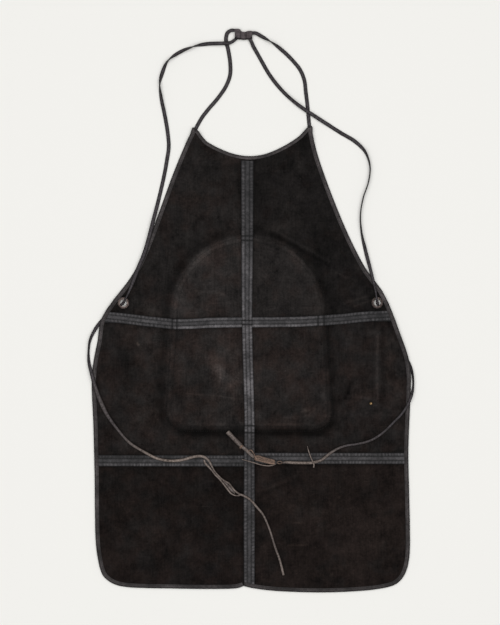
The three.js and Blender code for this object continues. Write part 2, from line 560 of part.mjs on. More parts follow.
// Flat strap with bevelled edges through a row of stations
function strap(stations, thickness) {
  const path = new THREE.CatmullRomCurve3(stations.map((s) => s.centre), false, 'centripetal');
  const up = new THREE.Vector3(0, 0, 1);
  const rings = stations.map(({ centre, width, turn }, i) => {
    const along = path.getTangent(i / (stations.length - 1));
    const side = along.clone().cross(up).normalize();
    const over = side.clone().cross(along);
    const angle = THREE.MathUtils.degToRad(turn);
    const across = side.clone().multiplyScalar(Math.cos(angle)).addScaledVector(over, Math.sin(angle));
    const upward = over.clone().multiplyScalar(Math.cos(angle)).addScaledVector(side, -Math.sin(angle));
    const w = width / 2;
    const t = thickness / 2;
    const bevel = thickness / 4;
    const corner = [[w, t - bevel], [w - bevel, t]];
    const top = [...corner, ...corner.map(([a, b]) => [-a, b]).reverse()];
    const section = [...top, ...top.map(([a, b]) => [-a, -b])];
    return section.map(([a, b]) => centre.clone().addScaledVector(across, a).addScaledVector(upward, b));
  });
  return toGeometry(loft(rings));
}

const stationsOf = (rows, thickness) =>
  rows.map((row) => ({ centre: strapCentre(row, thickness), width: row.width, turn: row.turn }));

// Bend of a strap through an eyelet, from flat on the upper rim to the middle of the hole, or on from there
const DIVE = { radius: 6, steps: 3, width: 7.6, jointGap: 0.17 };

function dive(eyelet, heading, part, turn) {
  const upper = eyeletTop + EYELET.seat + EYELET.metal + GAP + THONG_THICKNESS / 2;
  const lower = FLOOR_CLEARANCE + THONG_THICKNESS / 2;
  const steepest = Math.acos(1 - (upper - lower) / (2 * DIVE.radius));
  return Array.from({ length: DIVE.steps + 1 }, (_, i) => {
    const angle = (steepest * i) / DIVE.steps;
    const out = DIVE.radius * (Math.sin(steepest) - Math.sin(angle)) + DIVE.jointGap * (i / DIVE.steps);
    const drop = DIVE.radius * (1 - Math.cos(angle));
    const sign = part === 'above' ? -1 : 1;
    const height = part === 'above' ? upper - drop + DIVE.jointGap : lower + drop - DIVE.jointGap;
    const x = eyelet.x + sign * out * Math.cos(heading);
    const y = eyelet.y + sign * out * Math.sin(heading);
    return { centre: new THREE.Vector3(x, y, height), width: DIVE.width, turn };
  });
}

const LEFT_HEADING = THREE.MathUtils.degToRad(229);
const RIGHT_HEADING = THREE.MathUtils.degToRad(288);
const cords = {
  neck_loop: stationsOf(NECK_LOOP, THONG_THICKNESS),
  shoulder_thong: [
    ...dive(EYELET_LEFT, LEFT_HEADING, 'above', 0).reverse(),
    ...stationsOf(SHOULDER_THONG, THONG_THICKNESS),
    ...dive(EYELET_RIGHT, RIGHT_HEADING, 'above', 180),
  ],
  left_tie: [
    ...dive(EYELET_LEFT, LEFT_HEADING, 'below', 0).reverse(),
    ...stationsOf(LEFT_TIE, THONG_THICKNESS),
  ],
  right_tie: [
    ...dive(EYELET_RIGHT, RIGHT_HEADING, 'below', 0).reverse(),
    ...stationsOf(RIGHT_TIE, THONG_THICKNESS),
  ],
};
for (const [name, stations] of Object.entries(cords)) {
  const finish = name.endsWith('tie') ? FINISH.tie : FINISH.thong;
  add(name, strap(stations, THONG_THICKNESS), finish);
}
add('tie_splice', strap(stationsOf(TIE_SPLICE, THONG_THICKNESS), THONG_THICKNESS), FINISH.tie);
add('tie_end', strap(stationsOf(TIE_END, THONG_THICKNESS), THONG_THICKNESS), FINISH.tie);
add('knot_lace', strap(stationsOf(KNOT_LACE, LACE_THICKNESS), LACE_THICKNESS), FINISH.tie);
add('side_lace', strap(stationsOf(SIDE_LACE, LACE_THICKNESS), LACE_THICKNESS), FINISH.tie);

// Wrapped knot: oval sections along its axis

function knotGeometry() {
  const { from, to, reach, sides } = KNOT;
  const along = to.clone().sub(from).normalize();
  const bed = rest(from.clone().lerp(to, 0.5), reach) + GAP;
  const axisHeight = bed + Math.max(...KNOT_SECTIONS.map((section) => section.height)) / 2;
  const rings = KNOT_SECTIONS.map(({ along: share, width, height }) => {
    const centre = from.clone().lerp(to, share);
    return circle(new THREE.Vector2(), 0.5, sides).map((unit) => {
      const out = width * unit.x;
      const z = axisHeight + height * unit.y;
      return new THREE.Vector3(centre.x - along.y * out, centre.y + along.x * out, z);
    });
  });
  return toGeometry(loft(rings));
}

add('tie_knot', knotGeometry(), FINISH.tie);

// Keeper: a flattened sleeve round both straps at the nape

const keeperMiddle = FLOOR_CLEARANCE + KEEPER_LIFT + THONG_THICKNESS / 2;

function keeperRings(sizes) {
  const square = (v) => Math.sign(v) * Math.abs(v) ** KEEPER.roundness;
  return KEEPER_SECTIONS.map((section) => {
    const { width, height } = sizes(section);
    const x = THREE.MathUtils.lerp(KEEPER.left, KEEPER.right, section.along);
    return Array.from({ length: KEEPER.sides }, (_, i) => {
      const angle = ((i + 0.5) * 2 * Math.PI) / KEEPER.sides;
      const y = KEEPER.up + (width / 2) * square(Math.cos(angle));
      return new THREE.Vector3(x, y, keeperMiddle + (height / 2) * square(Math.sin(angle)));
    });
  });
}

const sleeve = keeperRings(({ width, height }) => ({ width, height }));
const cavity = keeperRings((section) => ({ width: section.cavity, height: KEEPER.cavityHeight }));
cavity[0].forEach((p) => p.setX(p.x - KEEPER.overrun));
cavity.at(-1).forEach((p) => p.setX(p.x + KEEPER.overrun));
add('keeper', solidGeometry(toSolid(loft(sleeve)).subtract(toSolid(loft(cavity)))), FINISH.thong);

export default apron;
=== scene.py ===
"""Dresses a lying leather work apron: suede, leather bands and bindings, straps, ties, metal and stitches."""

import json
import math

import bpy
import numpy as np
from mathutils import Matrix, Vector, geometry
from mathutils.bvhtree import BVHTree

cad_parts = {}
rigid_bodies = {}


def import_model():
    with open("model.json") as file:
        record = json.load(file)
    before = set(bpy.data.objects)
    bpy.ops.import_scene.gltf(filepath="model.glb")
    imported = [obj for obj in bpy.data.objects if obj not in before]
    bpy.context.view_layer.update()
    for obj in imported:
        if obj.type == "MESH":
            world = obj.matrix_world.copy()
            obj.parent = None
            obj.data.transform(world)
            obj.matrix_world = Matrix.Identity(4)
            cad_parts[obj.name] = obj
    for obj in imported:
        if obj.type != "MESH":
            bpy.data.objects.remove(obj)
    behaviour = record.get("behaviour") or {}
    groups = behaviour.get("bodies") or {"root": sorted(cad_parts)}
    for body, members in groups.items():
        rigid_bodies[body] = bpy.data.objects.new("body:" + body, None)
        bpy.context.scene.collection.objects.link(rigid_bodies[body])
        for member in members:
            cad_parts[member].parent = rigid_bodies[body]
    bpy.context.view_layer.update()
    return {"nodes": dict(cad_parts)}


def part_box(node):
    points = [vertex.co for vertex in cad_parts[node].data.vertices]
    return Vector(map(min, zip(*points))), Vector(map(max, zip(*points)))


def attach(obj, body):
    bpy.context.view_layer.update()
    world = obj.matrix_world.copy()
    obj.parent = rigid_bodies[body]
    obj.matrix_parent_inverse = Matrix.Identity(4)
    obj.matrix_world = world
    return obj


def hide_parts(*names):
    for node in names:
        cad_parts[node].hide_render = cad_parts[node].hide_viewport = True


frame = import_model()

bl_info = {
    "name": "Leather work apron",
    "version": (1, 0, 0),
    "blender": (4, 5, 0),
    "location": "View3D > Sidebar > Apron",
    "description": "Builds the looks of a lying leather apron around its packed solids",
    "category": "Object",
}

MM = 0.001
UP = np.array((0.0, 0.0, 1.0))
DOWN = Vector((0, 0, -1))
PHOTO_SPAN = 1.25  # metres of floor along the long side of the picture
PHOTO_CENTRE = (-0.0026, 0.0935)  # where the middle of the picture falls on the floor
FLOOR_REACH = 6.0  # from the middle of the floor to its sides
FLOOR_DROP = 0.2 * MM  # keeps the floor clear of the leather
SKY_STRENGTH = 0.3
LAMP_SIZE = 8.0
LAMP_HEIGHT = 4.0
LAMP_POWER = 257.0

PANELS = sorted(name for name in frame["nodes"] if name.startswith("panel_"))
BANDS = sorted(name for name in frame["nodes"] if name.startswith("band_"))
BINDINGS = sorted(name for name in frame["nodes"] if name.startswith("binding_"))

# Lightness of each panel beside the others
PANEL_TONE = {
    "panel_bib_left": 0.93,
    "panel_bib_right": 0.68,
    "panel_waist_left": 0.96,
    "panel_waist_right": 0.94,
    "panel_hem_left": 0.71,
    "panel_hem_right": 0.8,
}
# Share of brown in the dye of each panel
PANEL_WARMTH = {
    "panel_bib_left": 0.2,
    "panel_bib_right": -0.1,
    "panel_waist_left": 0.4,
    "panel_waist_right": 0.4,
    "panel_hem_left": 0.7,
    "panel_hem_right": 1.0,
}

# Rows of stitches inside the edge of the patch and of the pocket
PATCH_ROWS = (2.5 * MM, 12 * MM)
POCKET_ROW = 3 * MM
# Two stitch rows of a band, as shares of its half width from the middle, and the binding's row from the rim
BAND_ROW = 0.36
BINDING_ROW = 6.2 * MM

# Marks on the suede, in millimetres: from, to, half width and height, with lightness and tan as shares.
# Lighter rows with tan are rubbed wear; darker rows are mostly painted shade in creases, grooves and folds,
# below the patch and beside straps; lighter rows that are raised also carry painted highlight.
MARK_COLUMNS = ("start", "end", "width", "tone", "tan", "rise")
MARKS = tuple(
    dict(zip(MARK_COLUMNS, row))
    for row in (
        ((-66, -22), (-61, -32), 9, 1.2, 0.01, 0),
        ((-70, -12), (-50, -44), 17, 0.6, 0, 0),
        ((-66, -8), (-30, -52), 30, 0.72, 0.004, 0),
        ((-131, -68), (-60, -74), 1.5, 0.5, 0.02, 0.1),
        ((-60, -74), (-23, -80), 1.5, 0.6, 0.02, 0.1),
        ((-227.6, 31.3), (-226, 30), 2.4, 2.2, 0.12, 0),
        ((-226, 40), (-205, 0), 34, 0.3, 0.005, 0),
        ((-209, 106), (-196, 100), 13, 0.45, 0.02, 0),
        ((128, 128), (140, 104), 22, 0.25, 0.012, 0),
        ((-217, -111), (-200, -104), 22, 0.2, 0.015, 0),
        ((-150, 60), (-146, 30), 16, -0.25, 0, 0),
        ((-250, 10), (-262, -30), 24, -0.3, 0, 0),
        ((-112, 192), (-90, 214), 7, 0.6, 0.012, 0),
        ((-130, 165), (-106, 198), 9, 0.45, 0.006, 0),
        ((-146, 120), (-132, 160), 8, 0.35, 0.004, 0),
        ((-112, 136), (-64, 132), 3, 0.4, 0.01, 0),
        ((-84, 112), (-30, 113), 1.6, 0.35, 0.01, 0),
        # a crease: painted shade in its hollow and painted highlight on its raised side
        ((39, 252), (155, 188), 4, -0.35, 0, -0.5),
        ((42, 260), (158, 195), 3, 0.45, 0, 0.6),
        ((169, 174), (191, 163), 2.4, 0.5, 0.01, 0.3),
        ((186, 112), (232, 126), 2, 0.6, 0.02, 0.2),
        ((206, 106), (240, 118), 1.6, 0.5, 0.02, 0.2),
        ((74, -371.5), (114, -371), 1.8, 0.6, 0.03, 0),
        # a crease: painted shade in its hollow and painted highlight on its raised side
        ((25, -262), (95, -232), 3.5, 0.25, 0.003, 0.4),
        ((22, -270), (94, -241), 5, -0.3, 0, -0.4),
        ((220, -410), (270, -330), 40, 0.06, 0.004, 0),
        ((110, -300), (180, -320), 26, 0.08, 0.003, 0),
        ((-120, 330), (-50, 270), 36, 0.22, 0.004, 0),
        ((30, 262), (90, 268), 12, 0.3, 0.01, 0),
        ((84, 206), (118, 180), 9, 0.5, 0.004, 0),
        ((122, 170), (134, 140), 7, 0.4, 0.004, 0),
        ((66, 232), (90, 320), 10, 0.12, 0.004, 0),
        ((92, 400), (97, 382), 8, 0.5, 0.006, 0),
        ((80, 362), (92, 328), 13, 0.25, 0.004, 0),
        ((48, 312), (82, 294), 16, 0.22, 0.006, 0),
        ((180, 180), (206, 130), 30, 0.14, 0, 0),
        ((60, 190), (90, 120), 40, 0.08, 0, 0),
        ((190, 30), (246, -10), 30, 0.08, 0, 0),
        ((276, 30), (292, -70), 15, 0.36, 0.008, 0),
        # painted shade along the patch's foot
        ((-132, -146), (-52, -148), 8, -0.12, 0, 0),
        ((-130, 130), (-150, 200), 12, -0.1, 0, 0),
        ((-240, -300), (-140, -360), 40, -0.05, 0, 0),
        ((-50, -230), (-60, -300), 24, -0.15, 0, 0),
        ((-32, -270), (-22, -380), 14, -0.25, 0, 0),
        ((-150, -250), (-140, -266), 22, -0.15, 0, 0),
        ((56, -230), (70, -330), 26, -0.12, 0, 0),
        # painted shade below the patch's foot, on towards the pocket
        ((-118, -150), (-30, -152), 9, -0.25, 0, 0),
        ((40, -150), (130, -146), 10, -0.25, 0, 0),
        ((130, -146), (188, -118), 9, -0.3, 0, 0),
        ((198, -46), (194, -66), 4, -0.6, 0, 0),
        ((194, -66), (188, -78), 3, -0.45, 0, 0),
        ((176, -60), (188, -56), 8, -0.3, 0, 0),
        ((242, -44), (243, -74), 3, -0.2, 0, 0),
        ((204, -74), (236, -78), 3.4, 0.7, 0.002, 0.2),
        ((254, 64), (252, 10), 4, 0.35, 0.004, 0.2),
        ((250, 0), (252, -80), 3.4, 0.3, 0.004, 0.2),
        ((239, -88), (239, -88.5), 6, -0.7, 0, 0),
        # painted shadows on both sides of the shoulder thong where it goes into the left eyelet
        ((-256, 126), (-248, 138), 5, -0.4, 0, 0),
        ((-243, 121), (-240, 126), 4, -0.35, 0, 0),
        ((52, -118), (150, -112), 2.2, 0.35, 0.006, 0),
        ((96, -100), (140, -98), 1.6, 0.3, 0.006, 0),
        ((-90, 204), (-89, 201), 4, 0.7, 0.01, 0),
        ((-58, 129.6), (-54, 129.4), 2, 0.9, 0.02, 0),
        ((-106, 129.6), (-101, 129.4), 2.4, 0.4, 0.01, 0),
        ((-134, 89), (-133, 87), 2, 0.6, 0.01, 0),
        ((97, -105.5), (116, -101.5), 1.8, 0.45, 0.01, 0),
        ((103, -114.5), (116, -110.5), 1.8, 0.55, 0.01, 0),
        ((106, -99), (106.5, -101), 2, 0.7, 0.01, 0),
        # raised light lines along the patch's foot with painted highlight, then darker grooves with painted
        # shade
        ((21, -131), (92, -129.5), 2.8, 0.3, 0.006, 0.2),
        ((-120, -130), (-20, -131), 2.8, 0.25, 0.006, 0.2),
        ((8, -139), (98, -138.5), 3, -0.15, 0, -0.2),
        ((8, -148.5), (78, -148.5), 3.4, -0.2, 0, -0.2),
        ((98, -147), (160, -150), 5, -0.25, 0, 0),
        ((142, -62), (158, -82), 12, -0.18, 0, 0),
        ((151, -46), (168, -32), 9, -0.18, 0, 0),
        ((165, -4), (165, -52), 4, -0.2, 0, -0.2),
        ((166, -82), (166, -110), 5, -0.2, 0, -0.2),
        ((21, -53.5), (37, -58.5), 2, 0.3, 0.006, 0),
        ((107, -72), (113, -92), 6, 0.15, 0.003, 0),
        ((85, -326.5), (106, -327), 1.8, 0.4, 0.02, 0),
        ((173, -276), (180, -272.5), 1.8, 0.5, 0.02, 0),
        ((160, -430.5), (163, -430.5), 2.4, 0.4, 0.02, 0),
        ((47, -326), (78, -337), 10, -0.15, 0, 0),
    )
)

# Routes of the straps: place and width in millimetres, turn about the length in degrees, share of wear
STRAP_ROUTES = {
    "neck_loop": (
        (-119, 443, 7.4, 0, 0), (-113, 457, 7.4, 0, 0), (-106, 470.5, 7.4, 0, 0), (-99, 482.5, 7.4, 0, 0),
        (-86, 499.5, 7.4, 0, 0), (-66, 523, 7.4, 0, 0), (-50, 547, 7.4, 0, 0), (-42.5, 568, 7.6, 0, 0),
        (-42, 590, 7.6, 0, 0), (-46, 618, 7.6, 0, 0), (-50.5, 642, 7.6, 0, 0), (-47.5, 652.5, 7.4, 0, 0),
        (-39.5, 657.3, 6.6, 0, 0), (-32, 656.8, 6, 0, 0), (-24, 652.5, 5.6, 0, 0), (-15, 649.8, 5.6, 0, 0),
        (-6, 649.8, 5.6, 0, 0), (0, 651.4, 6.4, 0, 0), (6, 652, 7, 0, 0), (21, 645, 7.4, 15, 0),
        (38, 635, 7.4, 80, 0), (61, 618, 7.4, 160, 0), (83, 597, 7.4, 180, 0), (98, 578, 7.4, 180, 0),
        (106, 558, 7.4, 180, 0), (109, 534, 7.4, 180, 0), (112, 510, 7.4, 180, 0), (114, 488, 7.4, 180, 0),
        (116, 466, 7.4, 180, 0), (118, 442, 7.4, 180, 0),
    ),
    "shoulder_thong": (
        (-246, 131, 4.4, 0, 0), (-240.6, 143, 5.8, 0, 0), (-236, 155, 7.4, 0, 0), (-229, 174, 8, 0, 0),
        (-215, 208, 8, 0, 0), (-195, 280, 7.6, 0, 0), (-185, 320, 7.4, 0, 0), (-169, 396, 7.4, 0, 0),
        (-165, 426, 7.4, 0, 0), (-167, 452, 7.4, 0, 0), (-173, 488, 7.4, 10, 0), (-180, 522, 7.4, 35, 0),
        (-183, 549, 7.4, 90, 0), (-178, 572, 7.4, 160, 0), (-166, 597, 7.4, 90, 0), (-146, 612, 7.4, 20, 0),
        (-118, 624, 7.4, 75, 0), (-90, 630, 7.4, 165, 0), (-64, 631, 7.4, 180, 0),
        (-50, 631.3, 7.2, 180, 0), (-41, 632.8, 6.6, 180, 0), (-34, 637.3, 6, 180, 0),
        (-28, 641.6, 5.6, 180, 0), (-20, 643.4, 5.6, 180, 0), (-11, 643.5, 5.6, 180, 0),
        (-5.5, 642, 6, 180, 0), (-2, 638, 6.6, 180, 0), (4, 625.4, 7.4, 180, 0), (11, 613, 7.4, 180, 0),
        (20, 597, 7.4, 180, 0), (37, 568, 7.4, 180, 0), (62.4, 536, 7.4, 150, 0), (90, 510.8, 7.4, 150, 0),
        (110, 496.7, 7.4, 180, 0), (130, 483.7, 7.4, 180, 0), (180.2, 451.8, 7.4, 180, 0),
        (209, 434, 7.4, 165, 0), (227, 415, 7.4, 120, 0), (237, 385, 7.4, 95, 0), (234, 354, 7.4, 90, 0),
        (224, 324, 7.4, 90, 0), (218, 288, 7.4, 90, 0), (220, 254, 7.4, 105, 0), (229, 214, 7.4, 150, 0),
        (239, 175, 6.4, 180, 0), (246.5, 144, 5, 180, 0),
    ),
    "left_tie": (
        (-279, 94, 7, 0, 0), (-301, 75, 7, 0, 0), (-313, 58, 6.6, 20, 0), (-322, 38, 6.6, 55, 0),
        (-325, 16, 6.6, 70, 0), (-324.4, -6, 6.6, 40, 0), (-319, -28, 7, 10, 0), (-312, -54, 8, 0, 0.1),
        (-302.4, -80.6, 8.8, 0, 0.15), (-288.8, -109.4, 7.8, 0, 0.15), (-267.6, -139.2, 5.8, 0, 0.15),
        (-242, -167.4, 5.8, 0, 0.4), (-214.6, -184.4, 5.8, 0, 0.8), (-187, -198, 5.8, 0, 1),
        (-159, -202.6, 5.8, 0, 1), (-136, -200.4, 5.8, 0, 1), (-114, -194.4, 5.8, 0, 0.95),
        (-104, -193.2, 5.8, 0, 0.9), (-94.6, -194.8, 5.6, 0, 0.85), (-88, -199.1, 5.2, 0, 0.85),
        (-82.6, -206, 4.6, 0, 0.8), (-79.4, -212.5, 4, 0, 0.8), (-75, -220.5, 3.6, 0, 0.8),
        (-68.8, -228.9, 3.6, 0, 0.8), (-60.8, -237.3, 3.8, 0, 0.8), (-52.8, -243.3, 4, 0, 0.8),
        (-44.4, -248.1, 4, 0, 0.75), (-38.6, -255.5, 3.6, 0, 0.75), (-33, -262.3, 3.6, 0, 0.8),
        (-25.6, -267.9, 4.2, 0, 0.85), (-14.2, -272.7, 5, 0, 0.85), (-1.6, -280.6, 5, 0, 0.8),
        (10, -293.8, 4.6, 0, 0.75), (21.6, -307.6, 4.6, 0, 0.65), (35, -336, 4.2, 0, 0.55),
        (47.6, -375, 4.6, 0, 0.55), (57, -401.5, 5, 0, 0.7), (64.4, -431, 4.6, 0, 0.75),
    ),
    "right_tie": (
        (265, 84, 7, 0, 0), (287, 38, 7, 0, 0), (304.6, 6, 7, 0, 0), (314, -6, 6.4, -20, 0),
        (320.4, -22, 6.2, -50, 0), (323.2, -39, 6.2, -68, 0), (323.4, -53, 6.2, -68, 0),
        (321, -68, 6, -40, 0), (312.6, -90, 5.8, 0, 0), (301, -108, 5.4, 0, 0), (284, -126, 5.2, 0, 0),
        (261, -148, 5.2, 0, 0.05), (238, -162, 5.2, 0, 0.1), (212, -169, 5, 0, 0.1),
        (187, -173, 5, 0, 0.15), (169, -180, 5.2, 0, 0.35), (155, -189, 5.6, 0, 0.55),
        (140, -201, 6, 0, 0.75), (123, -206, 6, 0, 1), (103, -206.8, 6, 0, 1), (77, -206, 6, 0, 1),
        (66, -205.6, 4.6, 0, 0.8), (61, -207, 2, 0, 0.6), (55, -208, 1.6, 0, 0.5), (48, -206, 1.6, 0, 0.5),
    ),
    "tie_splice": (
        (-94.6, -200.6, 3.6, 0, 0.8), (-91, -208.3, 4.8, 0, 0.8), (-85.8, -213.7, 4.2, 0, 0.85),
        (-78.8, -221.5, 3.4, 0, 0.85), (-72.6, -229.9, 3.4, 0, 0.85), (-63.2, -239.5, 3.6, 0, 0.85),
        (-54.2, -250.7, 3.6, 0, 0.85), (-46.8, -260.3, 3.6, 0, 0.85), (-40.8, -267.5, 3.2, 0, 0.85),
        (-34.6, -271.1, 2.8, 0, 0.8), (-26.6, -272.3, 2.6, 0, 0.75), (-19.6, -270.7, 2.4, 0, 0.7),
    ),
    "tie_end": (
        (5.4, -195, 6.6, 0, 0.8), (-1.4, -189.4, 7.2, 0, 0.75), (-9.4, -181.4, 7.4, 0, 0.7),
        (-17.4, -175, 7.6, 0, 0.65), (-21.4, -171.4, 9, 0, 0.65), (-35.4, -157.4, 9.2, 0, 0.6),
        (-47.6, -144.6, 9, 0, 0.6),
    ),
    "knot_lace": (
        (49, -208, 3, 0, 1), (44, -211, 2.8, 0, 1), (37, -212.4, 2.6, 0, 1), (21, -211, 2.6, 0, 1),
        (7.5, -207, 2.6, 0, 1), (-3, -204, 2.4, 0, 0.9), (-18.6, -199.5, 1.8, 0, 0.8),
    ),
    "side_lace": (
        (111.6, -173, 1.2, 0, 0.5), (113.5, -180, 2, 0, 0.8), (116, -188, 2.4, 0, 0.9),
        (120.4, -199.5, 2.6, 0, 1), (124.2, -207, 2.8, 0, 1), (125, -211, 3, 0, 0.9),
        (124.2, -216, 3.4, 0, 0.7),
    ),
}
# Thin web of leather between the two strands of the splice
SPLICE_WEB = (
    (-56.4, -243.6, 2, 0, 0.5), (-49, -250, 4.6, 0, 0.45), (-43.4, -256.6, 5.6, 0, 0.45),
    (-38, -262.8, 5, 0, 0.4), (-32.6, -267.8, 2.6, 0, 0.45),
)
# How far from an eyelet's middle a strap is held as it goes through, and its width there, in millimetres
DIVE_STEPS = ((0.5, 6.4), (2.2, 6), (4.2, 5.2), (7, 4.4))

# Where the shade beside a tie lies
SHADE_SIDE = (2.6 * MM, 2 * MM)
DARKEST_TONE = 0.25
# Rounds of averaging that soften the facets of a panel and of a band
PANEL_EASING = 8
BAND_EASING = 6
# Spacing of the points of the patch and the pocket, and of the sections of the tie ends
LINING_GRID = 4 * MM
TIE_STEP = 2 * MM
# Thickness of the splice's web beside that of its strands
WEB_SHARE = 0.6

# Heights from which the nearest surface is sought beside a sheet and beside a strap
SEEK_FROM = 0.02
SEEK_MIDDLE = 0.004
UPWARD = 0.3  # least rise of the normal of a face that is seen from above
CLEAR_OF_RIM = 0.55  # share of the spacing that inner points keep from an outline
# Angles over which an edge stays sharp: of cut sheets, and of folded leather and straps
SHARP_CUT = math.radians(50)
SHARP_FOLD = math.radians(60)

# Half section of a strap: share of the half width, share of the half thickness
STRAP_PROFILE = ((1.0, 0.3), (0.94, 0.78), (0.8, 1.0), (0.62, 0.86), (0.5, 0.78), (0.36, 0.92), (0.14, 1.0))


def linear(code):
    """Linear colour of an sRGB hex value."""
    parts = [int(code[i : i + 2], 16) / 255 for i in (1, 3, 5)]
    return tuple(p / 12.92 if p <= 0.04045 else ((p + 0.055) / 1.055) ** 2.4 for p in parts)


def length_property(name, description, default):
    """A size that a user may change, in metres."""
    return bpy.props.FloatProperty(
        name=name, description=description, default=default, min=0.0, unit="LENGTH", precision=5
    )


def colour_property(name, description, code):
    """A colour that a user may change, given as an sRGB hex value."""
    return bpy.props.FloatVectorProperty(
        name=name, description=description, default=linear(code), min=0.0, max=1.0, subtype="COLOR"
    )


class ApronSizes(bpy.types.PropertyGroup):
    """Sizes of the leather, the stitches and the mesh"""

    panel_grid: length_property("Panel grid", "Distance between the points of a suede panel", 2.2 * MM)
    band_grid: length_property("Band grid", "Distance between the points of a band", 1.4 * MM)
    strap_step: length_property("Strap step", "Distance between the sections of a strap", 3 * MM)
    hide_thickness: length_property("Hide", "Thickness of a suede panel", 1.8 * MM)
    band_thickness: length_property("Band", "Thickness of a band", 1.2 * MM)
    binding_thickness: length_property("Binding", "Thickness of the folded binding", 1.0 * MM)
    thong_thickness: length_property("Thong", "Thickness of the straps and ties", 2.2 * MM)
    lace_thickness: length_property("Lace", "Thickness of the thin laces", 1.8 * MM)
    stitch_pitch: length_property("Stitch pitch", "Distance from one stitch to the next", 3.6 * MM)
    stitch_length: length_property("Stitch length", "Length of thread that shows in a stitch", 2.5 * MM)
    thread_width: length_property("Thread", "Width of the sewing thread", 0.9 * MM)
    camera_height: length_property("Camera height", "Height of the camera above the floor", 3.2)


class ApronColours(bpy.types.PropertyGroup):
    """Colours of the leathers, the metal, the thread and the floor"""

    suede_dark: colour_property("Suede, dark", "Suede in its darker patches", "#0b0a0a")
    suede_light: colour_property("Suede, light", "Suede in its lighter patches", "#2a2726")
    suede_tan: colour_property("Suede, rubbed", "Suede rubbed through to the hide", "#7a6652")
    # Band colours: the dark one is painted shade in the stitch grooves and along the edges, the light one
    # painted sheen on the puffed ribs
    band_dark: colour_property("Band, dark", "Band leather in its grooves", "#0e0e0f")
    band_sheen: colour_property("Band, worn", "Band leather where it is polished", "#686567")
    binding: colour_property("Binding", "Binding leather", "#141212")
    # The worn binding colour is painted sheen along the fold of the binding; on the lining it is only a faint
    # lighter tone
    binding_worn: colour_property("Binding, worn", "Binding leather along the fold", "#585252")
    lining: colour_property("Lining", "Patch and pocket on the underside", "#2b2420")
    # Strap colours: the darker ones are painted shade along the edges, deepened in the cracks, and the
    # lighter ones painted highlight along the middle
    thong_dark: colour_property("Thong, dark", "Strap leather along its grooves", "#171414")
    thong_light: colour_property("Thong, light", "Strap leather on its ridges", "#4e494d")
    tie_dark: colour_property("Tie, dark", "Worn tie leather in its creases", "#3a312c")
    tie_light: colour_property("Tie, light", "Worn tie leather on its ridges", "#91847c")
    tie_warm: colour_property("Tie, warm", "Raw leather at the knot", "#866e5f")
    # The keeper colour shows where the keeper is not darkened by its painted shade
    keeper: colour_property("Keeper", "Keeper leather where it is rubbed", "#6a6163")
    metal: colour_property("Eyelets", "Dulled copper of the eyelets", "#857772")
    rivet: colour_property("Rivet", "Rubbed brass of the rivet", "#b4956c")
    thread: colour_property("Thread", "Waxed sewing thread", "#131211")
    floor: colour_property("Floor", "Studio floor", "#f2f1ed")


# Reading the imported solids


def solid_arrays(node):
    """Points and triangles of a CAD node, with its doubled points merged."""
    data = frame["nodes"][node].data
    places = np.empty(3 * len(data.vertices), np.float32)
    data.vertices.foreach_get("co", places)
    data.calc_loop_triangles()
    corners = np.empty(3 * len(data.loop_triangles), np.int32)
    data.loop_triangles.foreach_get("vertices", corners)
    merged, index = np.unique(np.round(places.reshape(-1, 3).astype(float), 6), axis=0, return_inverse=True)
    return merged, index.ravel()[corners].reshape(-1, 3)


def solid_tree(node):
    """Search tree of a CAD node."""
    places, faces = solid_arrays(node)
    return BVHTree.FromPolygons(places.tolist(), faces.tolist())


def piece_tree(names):
    """Search tree of finished pieces."""
    places, faces = [], []
    for name in names:
        data = bpy.data.objects[name].data
        faces += [[v + len(places) for v in polygon.vertices] for polygon in data.polygons]
        places += [v.co[:] for v in data.vertices]
    return BVHTree.FromPolygons(places, faces)


def free_edges(faces):
    """Directed edges of triangles that no neighbour shares."""
    edges = {(i, j) for t in faces for i, j in zip(t, np.roll(t, -1))}
    return [(i, j) for i, j in edges if (j, i) not in edges]


def plan_loops(node, above=0.0):
    """Closed outlines of the upward faces of a CAD node that lie above a height, seen from above."""
    places, faces = solid_arrays(node)
    a, b, c = (places[faces[:, i]] for i in range(3))
    normal = np.cross(b - a, c - a)
    upward = normal[:, 2] > UPWARD * np.linalg.norm(normal, axis=1)
    upper = faces[upward & (places[faces][:, :, 2].min(1) > above)]
    following = dict(free_edges(upper))
    loops = []
    while following:
        start = min(following)
        loop, here = [start], following.pop(start)
        while here != start:
            loop.append(here)
            here = following.pop(here)
        loops.append(places[loop][:, :2])
    return loops


def met_heights(tree, plan, side=1):
    """Height of the first surface met from above (1) or below (-1), or of the nearest beside an edge."""
    heights = []
    for x, y in plan:
        hit = tree.ray_cast(Vector((x, y, side)), DOWN * side)[0]
        hit = hit or tree.find_nearest(Vector((x, y, SEEK_FROM * side)))[0]
        heights.append(hit.z)
    return np.array(heights)


def middle_heights(tree, plan):
    """Height halfway between the upper and lower surface at each place."""
    heights = []
    for x, y in plan:
        above = tree.ray_cast(Vector((x, y, 1)), DOWN)[0]
        below = tree.ray_cast(Vector((x, y, -1)), -DOWN)[0]
        near = tree.find_nearest(Vector((x, y, SEEK_MIDDLE)))[0]
        heights.append((above.z + below.z) / 2 if above and below else near.z)
    return np.array(heights)


# Plan outlines


def distance_to(points, chain, closed=False):
    """Distance from each point to a chain of straight lengths."""
    ends = np.roll(chain, -1, axis=0) if closed else chain[1:]
    nearest = np.full(len(points), np.inf)
    for a, b in zip(chain, ends):
        run = b - a
        share = np.clip((points - a) @ run / max(run @ run, 1e-18), 0, 1)
        nearest = np.minimum(nearest, np.linalg.norm(points - a - share[:, None] * run, axis=1))
    return nearest


